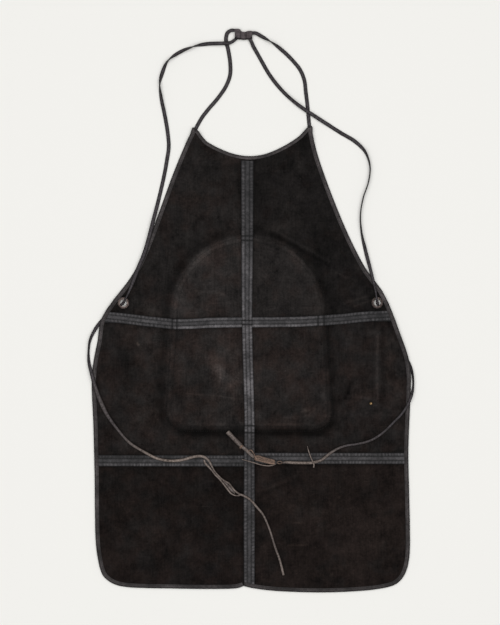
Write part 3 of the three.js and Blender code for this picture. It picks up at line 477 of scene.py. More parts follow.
def inside_loops(points, loops):
    """Whether each point lies inside closed outlines, whose inner ones are holes."""
    inside = np.zeros(len(points), bool)
    for loop in loops:
        for a, b in zip(loop, np.roll(loop, -1, axis=0)):
            if a[1] != b[1]:
                crosses = (a[1] > points[:, 1]) != (b[1] > points[:, 1])
                reach = a[0] + (points[:, 1] - a[1]) / (b[1] - a[1]) * (b[0] - a[0])
                inside ^= crosses & (points[:, 0] < reach)
    return inside


def depth_in(points, loop):
    """Distance from an outline, positive inside it."""
    distance = distance_to(points, loop, closed=True)
    return np.where(inside_loops(points, [loop]), distance, -distance)


def spaced_loop(loop, spacing):
    """A closed outline with points about a spacing apart."""
    lengths = []
    for a, b in zip(loop, np.roll(loop, -1, axis=0)):
        count = max(1, round(np.linalg.norm(b - a) / spacing))
        lengths.append(a + (b - a) * np.linspace(0, 1, count, endpoint=False)[:, None])
    return np.vstack(lengths)


def headings(chain):
    """Direction of a chain at each of its points."""
    along = np.gradient(chain, axis=0)
    return along / np.linalg.norm(along, axis=1)[:, None]


def run_lengths(chain):
    """Distance along a chain from its start to each of its points."""
    return np.concatenate([[0], np.cumsum(np.linalg.norm(np.diff(chain, axis=0), axis=1))])


def left_of(chain):
    """Direction to the left of a chain in plan at each of its points."""
    along = headings(chain)
    return np.column_stack([-along[:, 1], along[:, 0]])


def inset_chain(chain, distance):
    """A chain moved to its left by a distance."""
    return chain + distance * left_of(chain)


def inset_loop(loop, distance):
    """An anticlockwise outline moved inwards by a distance, as an open chain that ends where it starts."""
    fine = spaced_loop(loop, 4 * MM)
    around = np.vstack([fine[-2:], fine, fine[:3]])
    return inset_chain(around, distance)[2:-2]


def turned_areas(plan, faces):
    """Area of each triangle in plan, negative where it runs clockwise."""
    a, b, c = (plan[faces[:, i]] for i in range(3))
    return ((b - a)[:, 0] * (c - a)[:, 1] - (b - a)[:, 1] * (c - a)[:, 0]) / 2


def fill_plan(loops, spacing):
    """Even triangles inside closed outlines: their points in plan and their faces."""
    rims = [spaced_loop(loop, spacing) for loop in loops]
    low, high = np.vstack(rims).min(0), np.vstack(rims).max(0)
    rows = np.arange(low[1], high[1], spacing * math.sqrt(0.75))
    columns = np.arange(low[0], high[0], spacing)
    lattice = np.array([(x + spacing / 2 * (i % 2), y) for i, y in enumerate(rows) for x in columns])
    lattice = lattice[inside_loops(lattice, rims)]
    for rim in rims:
        lattice = lattice[distance_to(lattice, rim, closed=True) > CLEAR_OF_RIM * spacing]
    starts = np.cumsum([0, *(len(rim) for rim in rims)])
    edges = [(s + i, s + (i + 1) % len(rim)) for s, rim in zip(starts, rims) for i in range(len(rim))]
    points = [Vector(p) for p in np.vstack([*rims, lattice])]
    found, _, faces, *_ = geometry.delaunay_2d_cdt(points, edges, [], 0, 1e-7)
    plan, faces = np.array([p[:] for p in found]), np.array(faces)
    faces = faces[inside_loops(plan[faces].mean(1), rims)]
    turned = turned_areas(plan, faces) < 0
    faces[turned] = faces[turned][:, ::-1]
    return plan, faces


def eased(values, faces, rounds):
    """Values averaged with their neighbours, so that facets become soft slopes."""
    pairs = np.vstack([faces[:, [0, 1]], faces[:, [1, 2]], faces[:, [2, 0]]])
    pairs = np.vstack([pairs, pairs[:, ::-1]])
    count = np.bincount(pairs[:, 0], minlength=len(values))
    for _ in range(rounds):
        around = np.bincount(pairs[:, 0], weights=values[pairs[:, 1]], minlength=len(values))
        values = (values + around / np.maximum(count, 1)) / 2
    return values


def ramp(values, start, end):
    """0 up to a start, then an even rise to 1 at an end."""
    return np.clip((values - start) / (end - start), 0, 1)


def hump(distance, width):
    """1 on a line, easing to nothing about two widths away."""
    return np.exp(-((distance / width) ** 2))


def ripple(plan, length, seed):
    """Slow uneven waves, mostly between -1 and 1, with about the given wavelength."""
    wobble = np.random.default_rng(seed)
    waves = np.zeros(len(plan))
    for _ in range(7):
        heading, phase = wobble.uniform(0, 2 * math.pi, 2)
        number = 2 * math.pi / (length * wobble.uniform(0.7, 1.6))
        waves += np.sin(number * (plan @ (math.cos(heading), math.sin(heading))) + phase)
    return waves / 3.5


# Meshes and pieces


def smooth_mesh(name, places, faces, marks=None):
    """A smooth mesh, with the given numbers on its points."""
    data = bpy.data.meshes.new(name)
    data.from_pydata(np.asarray(places).tolist(), [], [list(map(int, f)) for f in faces])
    data.shade_smooth()
    for mark, values in (marks or {}).items():
        data.attributes.new(mark, "FLOAT", "POINT").data.foreach_set("value", np.asarray(values, np.float32))
    data.update()
    return data


def closed_sheet(name, plan, faces, top, bottom, marks):
    """A sheet of leather between an upper and a lower surface, closed along its cut edges."""
    count = len(plan)
    places = np.vstack([np.column_stack([plan, top]), np.column_stack([plan, bottom])])
    walls = [(i, i + count, j + count, j) for i, j in free_edges(faces)]
    shell = [*faces, *(faces[:, ::-1] + count), *walls]
    data = smooth_mesh(name, places, shell, {key: np.tile(values, 2) for key, values in marks.items()})
    data.set_sharp_from_angle(angle=SHARP_CUT)
    return data


def add_object(name, data, place=(0, 0, 0)):
    """Adds an object to the scene at a place."""
    made = bpy.data.objects.new(name, data)
    made.location = place
    bpy.context.scene.collection.objects.link(made)
    return made


def add_piece(data, material, slot, node):
    """Adds a mesh as a piece of the apron that stands for a CAD node."""
    piece = add_object(data.name, data)
    data.materials.append(finish(material))
    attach(piece, "root")
    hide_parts(node)
    return piece


def add_sheet(name, node, cut, top, bottom, marks, material, slot, **seat):
    """Adds a laid sheet of leather, cut to a plan, as a piece that stands for a CAD node."""
    plan, faces = cut
    data = closed_sheet(name, plan, faces, top, bottom, marks)
    piece = add_piece(data, material, slot, node)


def ring_faces(rings, sides, closed=False):
    """Faces between rings of points that follow each other, and from the last to the first if closed."""
    faces = []
    for r in range(rings if closed else rings - 1):
        here, there = r * sides, (r + 1) % rings * sides
        for i in range(sides):
            after = (i + 1) % sides
            faces.append((there + i, there + after, here + after, here + i))
    return faces


def smooth_rows(rows, step):
    """Rows about a step apart on a smooth curve through rows whose first three columns are a place."""
    rows = np.asarray(rows, float)
    at = run_lengths(rows[:, :3])
    slopes = np.gradient(rows, at, axis=0)
    s = np.linspace(0, at[-1], max(2, round(at[-1] / step)) + 1)
    i = np.clip(np.searchsorted(at, s, side="right") - 1, 0, len(at) - 2)
    h = (at[i + 1] - at[i])[:, None]
    u = (s - at[i])[:, None] / h
    return (
        (1 + 2 * u) * (1 - u) ** 2 * rows[i]
        + u * (1 - u) ** 2 * h * slopes[i]
        + u**2 * (3 - 2 * u) * rows[i + 1]
        + u**2 * (u - 1) * h * slopes[i + 1]
    )


def ribbon(name, centres, across, over, widths, thickness, wear):
    """A strap with grooved faces along a row of places, marked by side and by wear."""
    half = np.array(STRAP_PROFILE)
    face = np.vstack([half, (half * (-1, 1))[::-1]])
    ring = np.vstack([face, -face])
    out = ring[:, 0][None, :, None] * (widths / 2)[:, None, None] * across[:, None, :]
    up = ring[:, 1][None, :, None] * (thickness / 2) * over[:, None, :]
    places = (centres[:, None, :] + out + up).reshape(-1, 3)
    count, size = len(centres), len(ring)
    caps = [tuple(range(size)), tuple((count - 1) * size + i for i in reversed(range(size)))]
    marks = {"side": np.tile(np.abs(ring[:, 0]), count), "wear": np.repeat(wear, size)}
    data = smooth_mesh(name, places, ring_faces(count, size) + caps, marks)
    data.set_sharp_from_angle(angle=SHARP_FOLD)
    return data


def strap_frames(centres, turns):
    """Directions across and out of the face of a strap along its route, turned about its length."""
    along = headings(centres)
    side = np.cross(along, UP)
    side /= np.linalg.norm(side, axis=1)[:, None]
    over = np.cross(side, along)
    cos, sin = np.cos(turns)[:, None], np.sin(turns)[:, None]
    return cos * side + sin * over, cos * over - sin * side


def node_middle(node):
    """Middle of a CAD node's box."""
    low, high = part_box(node)
    return np.array((low + high) / 2)


def dive_rows(node, first):
    """Rows that lead a strap out of the middle of an eyelet towards its first row."""
    hole = node_middle(node)[:2] / MM
    heading = np.array(first[:2]) - hole
    heading /= np.linalg.norm(heading)
    return [(*(hole + heading * step), width, *first[3:]) for step, width in DIVE_STEPS]


def lay_strap(name, rows, thickness, step):
    """Mesh and middle line of a strap that lies where its CAD solid does."""
    rows = np.array(rows, float)
    plan = rows[:, :2] * MM
    heights = middle_heights(solid_tree(name), plan)
    table = np.column_stack([plan, heights, rows[:, 2] * MM, np.radians(rows[:, 3]), rows[:, 4]])
    table = smooth_rows(table, step)
    centres, widths, turns, wear = table[:, :3], table[:, 3], table[:, 4], np.clip(table[:, 5], 0, 1)
    half = (np.abs(np.sin(turns)) * widths + np.abs(np.cos(turns)) * thickness) / 2
    centres[:, 2] = np.maximum(centres[:, 2], half)
    across, over = strap_frames(centres, turns)
    return ribbon(f"{name}_leather", centres, across, over, widths, thickness, wear), centres


# Materials


def fill_inputs(tree, node, inputs):
    """Sets each named input of a node to a value, or links it to a socket."""
    for key, value in inputs.items():
        if isinstance(value, bpy.types.NodeSocket):
            tree.links.new(value, node.inputs[key])
        else:
            node.inputs[key].default_value = value


def add_node(tree, kind, inputs=None, **settings):
    """Adds one node with its settings, and fills its inputs."""
    made = tree.nodes.new(kind)
    for key, value in settings.items():
        setattr(made, key, value)
    fill_inputs(tree, made, inputs or {})
    return made


def new_material(name):
    """A fresh material, its node tree and its shader."""
    material = bpy.data.materials.new(name)
    material.use_nodes = True
    return material, material.node_tree, material.node_tree.nodes["Principled BSDF"]


def object_place(tree):
    """The place of a point in the apron's own frame."""
    return add_node(tree, "ShaderNodeTexCoord").outputs["Object"]


def point_mark(tree, name):
    """A number that the mesh carries on its points."""
    return add_node(tree, "ShaderNodeAttribute", attribute_name=name).outputs["Fac"]


def noise(tree, place, size, detail=2, roughness=0.5):
    """Uneven clouds of about the given size."""
    inputs = {"Vector": place, "Scale": 1 / size, "Detail": detail, "Roughness": roughness}
    return add_node(tree, "ShaderNodeTexNoise", inputs).outputs["Fac"]


def streaked(tree, place, sizes, turn, detail):
    """Uneven streaks with a size along each axis, turned about the upright one."""
    inputs = {"Vector": place, "Rotation": (0, 0, turn), "Scale": [1 / size for size in sizes]}
    return noise(tree, add_node(tree, "ShaderNodeMapping", inputs).outputs["Vector"], 1, detail)


def remap(tree, value, start, end, low=0.0, high=1.0, **settings):
    """A value moved from one range to another and held inside it."""
    inputs = {"Value": value, "From Min": start, "From Max": end, "To Min": low, "To Max": high}
    return add_node(tree, "ShaderNodeMapRange", inputs, **settings).outputs["Result"]


def reckon(tree, operation, *values, **settings):
    """Arithmetic on two or three values."""
    made = add_node(tree, "ShaderNodeMath", dict(enumerate(values)), operation=operation, **settings)
    return made.outputs[0]


def blend(tree, share, first, second, **settings):
    """Two colours mixed by a share of the second."""
    inputs = {"Factor": share, "A": first, "B": second}
    return add_node(tree, "ShaderNodeMix", inputs, data_type="RGBA", **settings).outputs["Result"]


def bump(tree, height, strength, depth):
    """Normals of a surface with fine relief."""
    inputs = {"Height": height, "Strength": strength, "Distance": depth}
    return add_node(tree, "ShaderNodeBump", inputs).outputs["Normal"]


def rgba(colour):
    """A colour with full cover."""
    return (*colour, 1.0)


def napped_suede(name, dark, light, tan):
    """Split leather with a raised nap, dyed nearly black: no gloss, cloudy tone, tan where rubbed."""
    _, tree, shader = new_material(name)
    place = object_place(tree)
    clouds = noise(tree, place, 60 * MM, 6, 0.9)
    nap = noise(tree, place, 2.4 * MM, 3, 0.7)
    tufts = noise(tree, place, 4.2 * MM)
    brushed = streaked(tree, place, (3 * MM, 30 * MM, 30 * MM), 0, 2)
    scratches = remap(tree, streaked(tree, place, (45 * MM, 2.2 * MM, 45 * MM), 0.14, 1), 0.68, 0.8)
    dust = add_node(tree, "ShaderNodeTexVoronoi", {"Vector": place, "Scale": 1 / (17 * MM)})
    specks = remap(tree, dust.outputs["Distance"], 0.09, 0.03)
    uneven = reckon(tree, "MULTIPLY_ADD", brushed, 0.2, clouds)
    dyed = blend(tree, remap(tree, uneven, 0.4, 0.8), rgba(dark), rgba(light))
    # Brown and grey patches of the dye
    drifting = {"Vector": place, "Scale": 1 / (30 * MM), "Detail": 2, "W": 4.0}
    drift = add_node(tree, "ShaderNodeTexNoise", drifting, noise_dimensions="4D").outputs["Fac"]
    patches = remap(tree, drift, 0.35, 0.65, -0.5, 0.5)
    warm = reckon(tree, "ADD", point_mark(tree, "warmth"), patches, use_clamp=True)
    browned = blend(tree, warm, dyed, (1.14, 0.92, 0.85, 1), blend_type="MULTIPLY")
    # Grain, fine scratches and specks of dust over the tone
    grain = reckon(tree, "MULTIPLY_ADD", tufts, 0.8, 0.6)
    scored = reckon(tree, "MULTIPLY_ADD", scratches, 0.6, grain)
    dusted = reckon(tree, "MULTIPLY_ADD", specks, 0.7, scored)
    # The tone mark carries rubbed wear and painted shade and highlight from suede_marks
    tone = reckon(tree, "MULTIPLY", point_mark(tree, "tone"), dusted)
    scaled = {0: browned, "Scale": tone}
    toned = add_node(tree, "ShaderNodeVectorMath", scaled, operation="SCALE").outputs["Vector"]
    rubbed = reckon(tree, "MULTIPLY", point_mark(tree, "tan"), remap(tree, uneven, 0.35, 0.75))
    looks = {
        "Base Color": blend(tree, rubbed, toned, rgba(tan)),
        "Normal": bump(tree, nap, 0.5, 0.5 * MM),
        "Roughness": 0.95,
        "Specular IOR Level": 0.04,
        "Sheen Weight": 0.02,
        "Sheen Roughness": 0.6,
    }
    fill_inputs(tree, shader, looks)


def polished_leather(name, dark, light, grain, roughness):
    """Finished cowhide: soft gloss, fine grain, paler where it is marked as crest, a mark that carries
    painted sheen and shade on the bands, bindings and keeper.
    """
    _, tree, shader = new_material(name)
    place = object_place(tree)
    scuffs = noise(tree, place, 7 * MM, 5, 0.75)
    pores = noise(tree, place, grain, 3, 0.6)
    share = reckon(tree, "MULTIPLY", point_mark(tree, "crest"), remap(tree, scuffs, 0.34, 0.66, 0.3, 1.1))
    looks = {
        "Base Color": blend(tree, share, rgba(dark), rgba(light)),
        "Roughness": remap(tree, scuffs, 0, 1, roughness + 0.12, roughness - 0.12),
        "Normal": bump(tree, pores, 0.35, 0.3 * MM),
        "Specular IOR Level": 0.15,
    }
    fill_inputs(tree, shader, looks)


def strap_leather(name, dark, light, worn_dark, worn_light):
    """Narrow creased strap: painted shade along its edges, painted highlight along its middle, darker in its
    cracks, brown and dry where it is worn.
    """
    _, tree, shader = new_material(name)
    place = object_place(tree)
    cracks = noise(tree, place, 3.5 * MM, 5, 0.75)
    stains = noise(tree, place, 22 * MM, 3, 0.6)
    lit_middle = remap(tree, point_mark(tree, "side"), 0.9, 0.3, interpolation_type="SMOOTHSTEP")
    share = reckon(tree, "MULTIPLY", lit_middle, remap(tree, cracks, 0.35, 0.65))
    fresh = blend(tree, share, rgba(dark), rgba(light))
    dry = reckon(tree, "ADD", share, remap(tree, stains, 0.3, 0.7, -0.25, 0.25))
    brown = blend(tree, remap(tree, dry, -0.1, 0.9), rgba(worn_dark), rgba(worn_light))
    looks = {
        "Base Color": blend(tree, point_mark(tree, "wear"), fresh, brown),
        "Normal": bump(tree, cracks, 0.4, 0.4 * MM),
        "Roughness": 0.55,
        "Specular IOR Level": 0.15,
    }
    fill_inputs(tree, shader, looks)


def aged_metal(name, metal):
    """Plated brass, rolled and dulled: warm metal, dark stains, brighter where it is marked as bare."""
    _, tree, shader = new_material(name)
    stains = noise(tree, object_place(tree), 4 * MM, 5, 0.7)
    share = reckon(tree, "MULTIPLY", remap(tree, stains, 0.35, 0.62), point_mark(tree, "bare"))
    looks = {
        "Base Color": blend(tree, share, rgba(np.array(metal) * 0.2), rgba(metal)),
        "Roughness": remap(tree, share, 0, 1, 0.55, 0.3),
        "Metallic": 1.0,
    }
    fill_inputs(tree, shader, looks)


def waxed_thread(name, thread):
    """Waxed linen thread: dark, slightly shiny, twisted."""
    _, tree, shader = new_material(name)
    ply = noise(tree, object_place(tree), 1.2 * MM)
    looks = {
        "Base Color": blend(tree, ply, rgba(np.array(thread) * 0.7), rgba(np.array(thread) * 1.4)),
        "Roughness": 0.6,
        "Specular IOR Level": 0.25,
    }
    fill_inputs(tree, shader, looks)


# How each finish is made: its function, its colours, and the grain and roughness of a polished leather
FINISHES = {
    "napped_suede": (napped_suede, ("suede_dark", "suede_light", "suede_tan")),
    "band_cowhide": (polished_leather, ("band_dark", "band_sheen"), 1.6 * MM, 0.5),
    "binding_cowhide": (polished_leather, ("binding", "binding_worn"), 1.4 * MM, 0.55),
    "keeper_cowhide": (polished_leather, ("thong_dark", "keeper"), 1.6 * MM, 0.6),
    "lining_cowhide": (polished_leather, ("lining", "binding_worn"), 2 * MM, 0.8),
    "strap_cowhide": (strap_leather, ("thong_dark", "thong_light", "tie_dark", "tie_light")),
    "knot_rawhide": (strap_leather, ("tie_dark", "tie_warm", "tie_dark", "tie_warm")),
    "aged_copper": (aged_metal, ("metal",)),
    "rubbed_brass": (aged_metal, ("rivet",)),
    "waxed_thread": (waxed_thread, ("thread",)),
}


def finish(name):
    """A material by its name, made when it is first asked for."""
    if name not in bpy.data.materials:
        maker, shades, *surface = FINISHES[name]
        colours = bpy.context.scene.apron_colours
        maker(name, *(getattr(colours, shade) for shade in shades), *surface)
    return bpy.data.materials[name]


# Stage


class APRON_OT_stage(bpy.types.Operator):
    """Adds the pale floor, the soft light and the camera straight above the apron"""

    bl_idname = "apron.stage"
    bl_label = "Stage"

    def execute(self, context):
        scene, sizes = context.scene, context.scene.apron_sizes
        data = bpy.data.meshes.new("floor")
        corners = [(-FLOOR_REACH, -FLOOR_REACH), (FLOOR_REACH, -FLOOR_REACH)]
        corners += [(-x, -y) for x, y in corners]
        data.from_pydata([(x, y, -FLOOR_DROP) for x, y in corners], [], [(0, 1, 2, 3)])
        material, tree, shader = new_material("matt_paper")
        paper = {"Base Color": rgba(scene.apron_colours.floor), "Roughness": 1.0, "Specular IOR Level": 0.0}
        fill_inputs(tree, shader, paper)
        data.materials.append(material)
        add_object("floor", data)

        scene.world = bpy.data.worlds.new("studio")
        scene.world.use_nodes = True
        tree = scene.world.node_tree
        fill_inputs(tree, tree.nodes["Background"], {"Color": (1, 1, 1, 1), "Strength": SKY_STRENGTH})
        lamp = bpy.data.lights.new("softbox", "AREA")
        lamp.size = LAMP_SIZE
        lamp.energy = LAMP_POWER
        add_object("softbox", lamp, (*PHOTO_CENTRE, LAMP_HEIGHT))

        lens = bpy.data.cameras.new("camera")
        lens.lens = lens.sensor_width * sizes.camera_height / PHOTO_SPAN
        scene.camera = add_object("camera", lens, (*PHOTO_CENTRE, sizes.camera_height))
        scene.view_settings.view_transform = "Standard"
        return {"FINISHED"}


# Panels, patch and pocket


def suede_marks(plan):
    """Height, lightness and tan of the suede: what lies under it, stitch rows, shade and wear."""
    x, y = plan.T
    rise = 0.35 * MM * (ripple(plan, 110 * MM, 4) - 1) + 0.12 * MM * ripple(plan, 34 * MM, 9)
    tone = 1 + 0.1 * ripple(plan, 150 * MM, 21) + 0.08 * ripple(plan, 45 * MM, 33)
    tan = np.zeros(len(plan))

    # The patch's edge shows further in at the foot and on the right, where the hide is drawn tight over it:
    # inside the edge the suede is lighter, partly rubbed wear and partly painted highlight, and outside it
    # lies a band of painted shade
    depth = depth_in(plan, plan_loops("back_patch")[0])
    arch, foot, right = ramp(y, 0.05, 0.1), ramp(-y, 0.08, 0.13), ramp(x, 0.06, 0.12)
    shown = depth - 8 * MM * np.maximum(foot, right) + 3 * MM * (1 - foot) * (1 - right)
    tone += (0.28 + 0.4 * arch) * ramp(shown, -2.1 * MM, 4.9 * MM)
    tone += (0.16 + 0.36 * ramp(y - x, 0.05, 0.3)) * hump(shown - 8 * MM, 6 * MM)
    tone -= (0.32 + 0.1 * foot) * hump(shown + 9 * MM, 10 * MM)
    for row in PATCH_ROWS:
        rise -= 0.4 * MM * hump(depth - row, 1.8 * MM)
        tone -= 0.3 * hump(depth - row, 1.8 * MM)
    rise += 0.35 * MM * hump(depth - sum(PATCH_ROWS) / 2, 3 * MM)

    # The pocket shows most along its outer side: lighter inside its edge, with painted shade outside it
    depth = depth_in(plan, plan_loops("side_pocket")[0])
    outer = ramp(x, 0.225, 0.245)
    rise -= 0.35 * MM * hump(depth - POCKET_ROW, 1.6 * MM)
    tone += (0.05 + 0.4 * outer) * hump(depth - 6 * MM, 3.4 * MM)
    tone -= (0.1 + 0.25 * outer) * hump(depth + 5 * MM, 5 * MM)

    # Shade along the ties, on the side away from the light, round the eyelets and beside the bands
    for tie in ("left_tie", "right_tie", "tie_splice", "tie_end"):
        shaded = np.array([row[:2] for row in STRAP_ROUTES[tie]]) * MM + SHADE_SIDE
        tone -= 0.3 * hump(distance_to(plan, shaded), 3 * MM)
    for eyelet in EYELET_SHINE:
        away = np.linalg.norm(plan - node_middle(eyelet)[:2], axis=1)
        tone -= 0.45 * hump(away - 12 * MM, 5 * MM)
    for band in BANDS:
        beside = depth_in(plan, plan_loops(band)[0])
        tone -= 0.3 * hump(np.minimum(beside, 0), 5 * MM)

    for mark in MARKS:
        line = np.array((mark["start"], mark["end"])) * MM
        share = hump(distance_to(plan, line), mark["width"] * MM)
        tone += mark["tone"] * share
        tan = np.maximum(tan, mark["tan"] * share)
        rise += mark["rise"] * MM * share
    return rise, np.clip(tone, DARKEST_TONE, None), tan


class APRON_OT_panels(bpy.types.Operator):
    """Cuts the suede panels and lays them over the patch and the pocket"""

    bl_idname = "apron.panels"
    bl_label = "Suede panels"

    def execute(self, context):
        sizes = context.scene.apron_sizes
        for name in PANELS:
            cut = fill_plan(plan_loops(name), sizes.panel_grid)
            plan, faces = cut
            rise, tone, tan = suede_marks(plan)
            top = eased(met_heights(solid_tree(name), plan), faces, PANEL_EASING) + rise
            bottom = top - sizes.hide_thickness
            warmth = np.full(len(plan), PANEL_WARMTH[name])
            marks = {"tone": tone * PANEL_TONE[name], "tan": tan, "warmth": warmth}
            seat = {"rests_on": ["back_patch_hide"]}
            add_sheet(f"{name}_suede", name, cut, top, bottom, marks, "napped_suede", "suede", **seat)
        return {"FINISHED"}


class APRON_OT_underside(bpy.types.Operator):
    """Adds the patch and the pocket that are sewn to the underside"""

    bl_idname = "apron.underside"
    bl_label = "Patch and pocket"

    def execute(self, context):
        for name in ("back_patch", "side_pocket"):
            cut = fill_plan(plan_loops(name), LINING_GRID)
            plan = cut[0]
            low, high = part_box(name)
            depth = depth_in(plan, plan_loops(name)[0])
            soft = 0.5 * MM * hump(depth, 1.5 * MM)
            stitched = 0.25 * MM * hump(depth - PATCH_ROWS[0], 1.5 * MM)
            marks = {"crest": 0.13 + 0.07 * ripple(plan, 60 * MM, 5)}
            top, bottom = high.z - soft, low.z + soft + stitched
            add_sheet(f"{name}_hide", name, cut, top, bottom, marks, "lining_cowhide", "lining_leather")
        return {"FINISHED"}


# Bands

# Axis along which each band runs: 0 across the apron, 1 up it
BAND_RUN = {name: int(name == "band_centre") for name in BANDS}
# Painted sheen of a band, rib by rib: place along it in metres, lower or left rib, middle, upper or right
# rib, beads
BAND_PAINTED_SHEEN = {
    "band_centre": (
        (-0.45, 0.4, 0.36, 0.42, 0.5), (-0.15, 0.5, 0.42, 0.36, 0.5), (-0.13, 0.86, 0.94, 1.05, 0.3),
        (-0.1, 0.9, 0.95, 1.05, 0.25), (-0.07, 1.0, 1.15, 1.35, 0.2), (-0.045, 0.95, 1.1, 1.15, 0.2),
        (-0.03, 0.8, 0.72, 0.85, 0.25), (0.008, 0.8, 0.72, 0.82, 0.25), (0.02, 1.05, 1.0, 1.0, 0.3),
        (0.05, 1.0, 1.0, 1.0, 0.35), (0.09, 0.9, 0.62, 0.84, 0.12), (0.235, 0.84, 0.54, 0.46, 0.1),
        (0.26, 0.42, 0.3, 0.3, 0.45), (0.41, 0.4, 0.29, 0.24, 0.45),
    ),
    "band_waist_left": ((-0.16, 0.42, 0.52, 0.45, 0.45), (-0.145, 1.1, 0.44, 0.66, 0.16)),
    "band_waist_right": ((0.135, 0.92, 0.44, 0.66, 0.2), (0.148, 0.36, 0.27, 0.42, 0.5)),
    "band_hip_left": (
        (-0.3, 0.5, 0.34, 0.16, 0.35), (-0.2, 0.55, 0.34, 0.2, 0.5), (-0.06, 0.32, 0.46, 0.4, 0.55),
    ),
    "band_hip_right": ((0, 0.42, 0.5, 0.45, 0.55), (0.3, 0.5, 0.56, 0.4, 0.55)),
}
# Stitch rows that cross a band, in millimetres along it: the patch's rows, and the waist's over the centre
CROSS_ROWS = {
    "band_centre": (246.5, 237.5, 77.7, 69.7, -132.5, -146.5),
    "band_waist_left": (-157.8, -148.6),
    "band_waist_right": (133.4, 145.4),
}


def band_edges(name, along):
    """Lower or left edge and upper or right edge of a band at places along it."""
    run = BAND_RUN[name]
    fine = spaced_loop(plan_loops(name)[0], 2 * MM)
    margin = 30 * MM
    stations = np.linspace(fine[:, run].min() + margin, fine[:, run].max() - margin, 40)
    cuts = [fine[np.abs(fine[:, run] - s) < 3 * MM][:, 1 - run] for s in stations]
    edges = []
    for edge in ([c.min() for c in cuts], [c.max() for c in cuts]):
        # Past the stations an edge goes straight on
        first, last = np.polyfit(stations[:6], edge[:6], 1), np.polyfit(stations[-6:], edge[-6:], 1)
        line = np.interp(along, stations, edge)
        line = np.where(along < stations[0], np.polyval(first, along), line)
        edges.append(np.where(along > stations[-1], np.polyval(last, along), line))
    return edges


def band_relief(name, plan, pitch, seed):
    """Height in millimetres and painted sheen of a band, puffed between its stitch rows and beaded by them,
    with painted shade in the stitch grooves and along its edges.
    """
    along = plan[:, BAND_RUN[name]]
    low, high = band_edges(name, along)
    across = (2 * plan[:, 1 - BAND_RUN[name]] - low - high) / (high - low)
    side = np.abs(across)
    uneven, patchy = ripple(plan, 60 * MM, seed), ripple(plan, 25 * MM, seed + 40)
    stations, *painted_sheen = zip(*BAND_PAINTED_SHEEN[name])
    left, core, right, strength = (np.interp(along, stations, column) for column in painted_sheen)
    beads = np.sin(along * math.pi / pitch + 3 * uneven + np.sign(across)) * (0.8 + 0.5 * patchy) * strength
    puff = np.sin(math.pi * ramp(side, BAND_ROW, 1)) ** 0.7
    middle = ramp(side, BAND_ROW, 0) ** 0.4
    sewn = sum((hump(along - row * MM, 2 * MM) for row in CROSS_ROWS.get(name, ())), np.zeros(len(plan)))
    rise = 0.6 * puff * (1 + beads) + 0.25 * middle
    rise -= 0.4 * hump(side - BAND_ROW, 0.085) + 0.6 * hump(side - 1, 0.09) + 0.6 * sewn
    crest = np.where(across < 0, left, right) * puff * (1 + beads + 0.25 * uneven + 0.2 * patchy)
    crest += core * middle * (1 + 0.3 * uneven + 0.25 * patchy)
    crest *= (1 - np.clip(sewn, 0, 1)) * (1 - hump(side - 1, 0.08))
    return rise, np.clip(crest, 0, 1.5)


class APRON_OT_bands(bpy.types.Operator):
    """Lays the sewn leather bands over the seams, puffed between their stitch rows"""

    bl_idname = "apron.bands"
    bl_label = "Bands"

    def execute(self, context):
        sizes = context.scene.apron_sizes
        for seed, name in enumerate(BANDS):
            cut = fill_plan(plan_loops(name), sizes.band_grid)
            plan, faces = cut
            seat = eased(met_heights(solid_tree(name), plan), faces, BAND_EASING)
            rise, crest = band_relief(name, plan, sizes.stitch_pitch, seed)
            top, bottom = seat + rise * MM, seat - sizes.band_thickness
            looks = {"crest": crest}, "band_cowhide", "band_leather"
            add_sheet(f"{name}_leather", name, cut, top, bottom, *looks, rests_on=PANELS)
        return {"FINISHED"}


# Bindings

# Section of the folded binding: millimetres in from the rim, share of the way from underside to top
BINDING_OUTSIDE = ((8.5, 0.86), (6.8, 0.9), (5.6, 0.98), (3.6, 1.03), (1.8, 0.98), (0.5, 0.82), (0.0, 0.6))
BINDING_STEP = 2.5 * MM
BINDING_SEAT = 4 * MM  # from the rim to where the height of the solid is read
# At the neck the upper leg is narrower, and the rim lies further out
NECK_REACH = 0.8
NECK_OUT = 1 * MM


def rim_chain(name):
    """The outer edge of a binding, in order, seen from above."""
    loop = plan_loops(name, above=4 * MM)[0]
    panels = [plan_loops(panel)[0] for panel in PANELS]
    outer = ~np.any([inside_loops(loop, [panel]) for panel in panels], axis=0)
    first = next(i for i in range(len(loop)) if outer[i] and not outer[i - 1])
    order = [(first + i) % len(loop) for i in range(len(loop))]
    return loop[[i for i in order if outer[i]]]


def even_rim(name, step):
    """The outer edge of a binding with points about a step apart."""
    chain = rim_chain(name)
    return smooth_rows(np.column_stack([chain, np.zeros(len(chain))]), step)[:, :2]


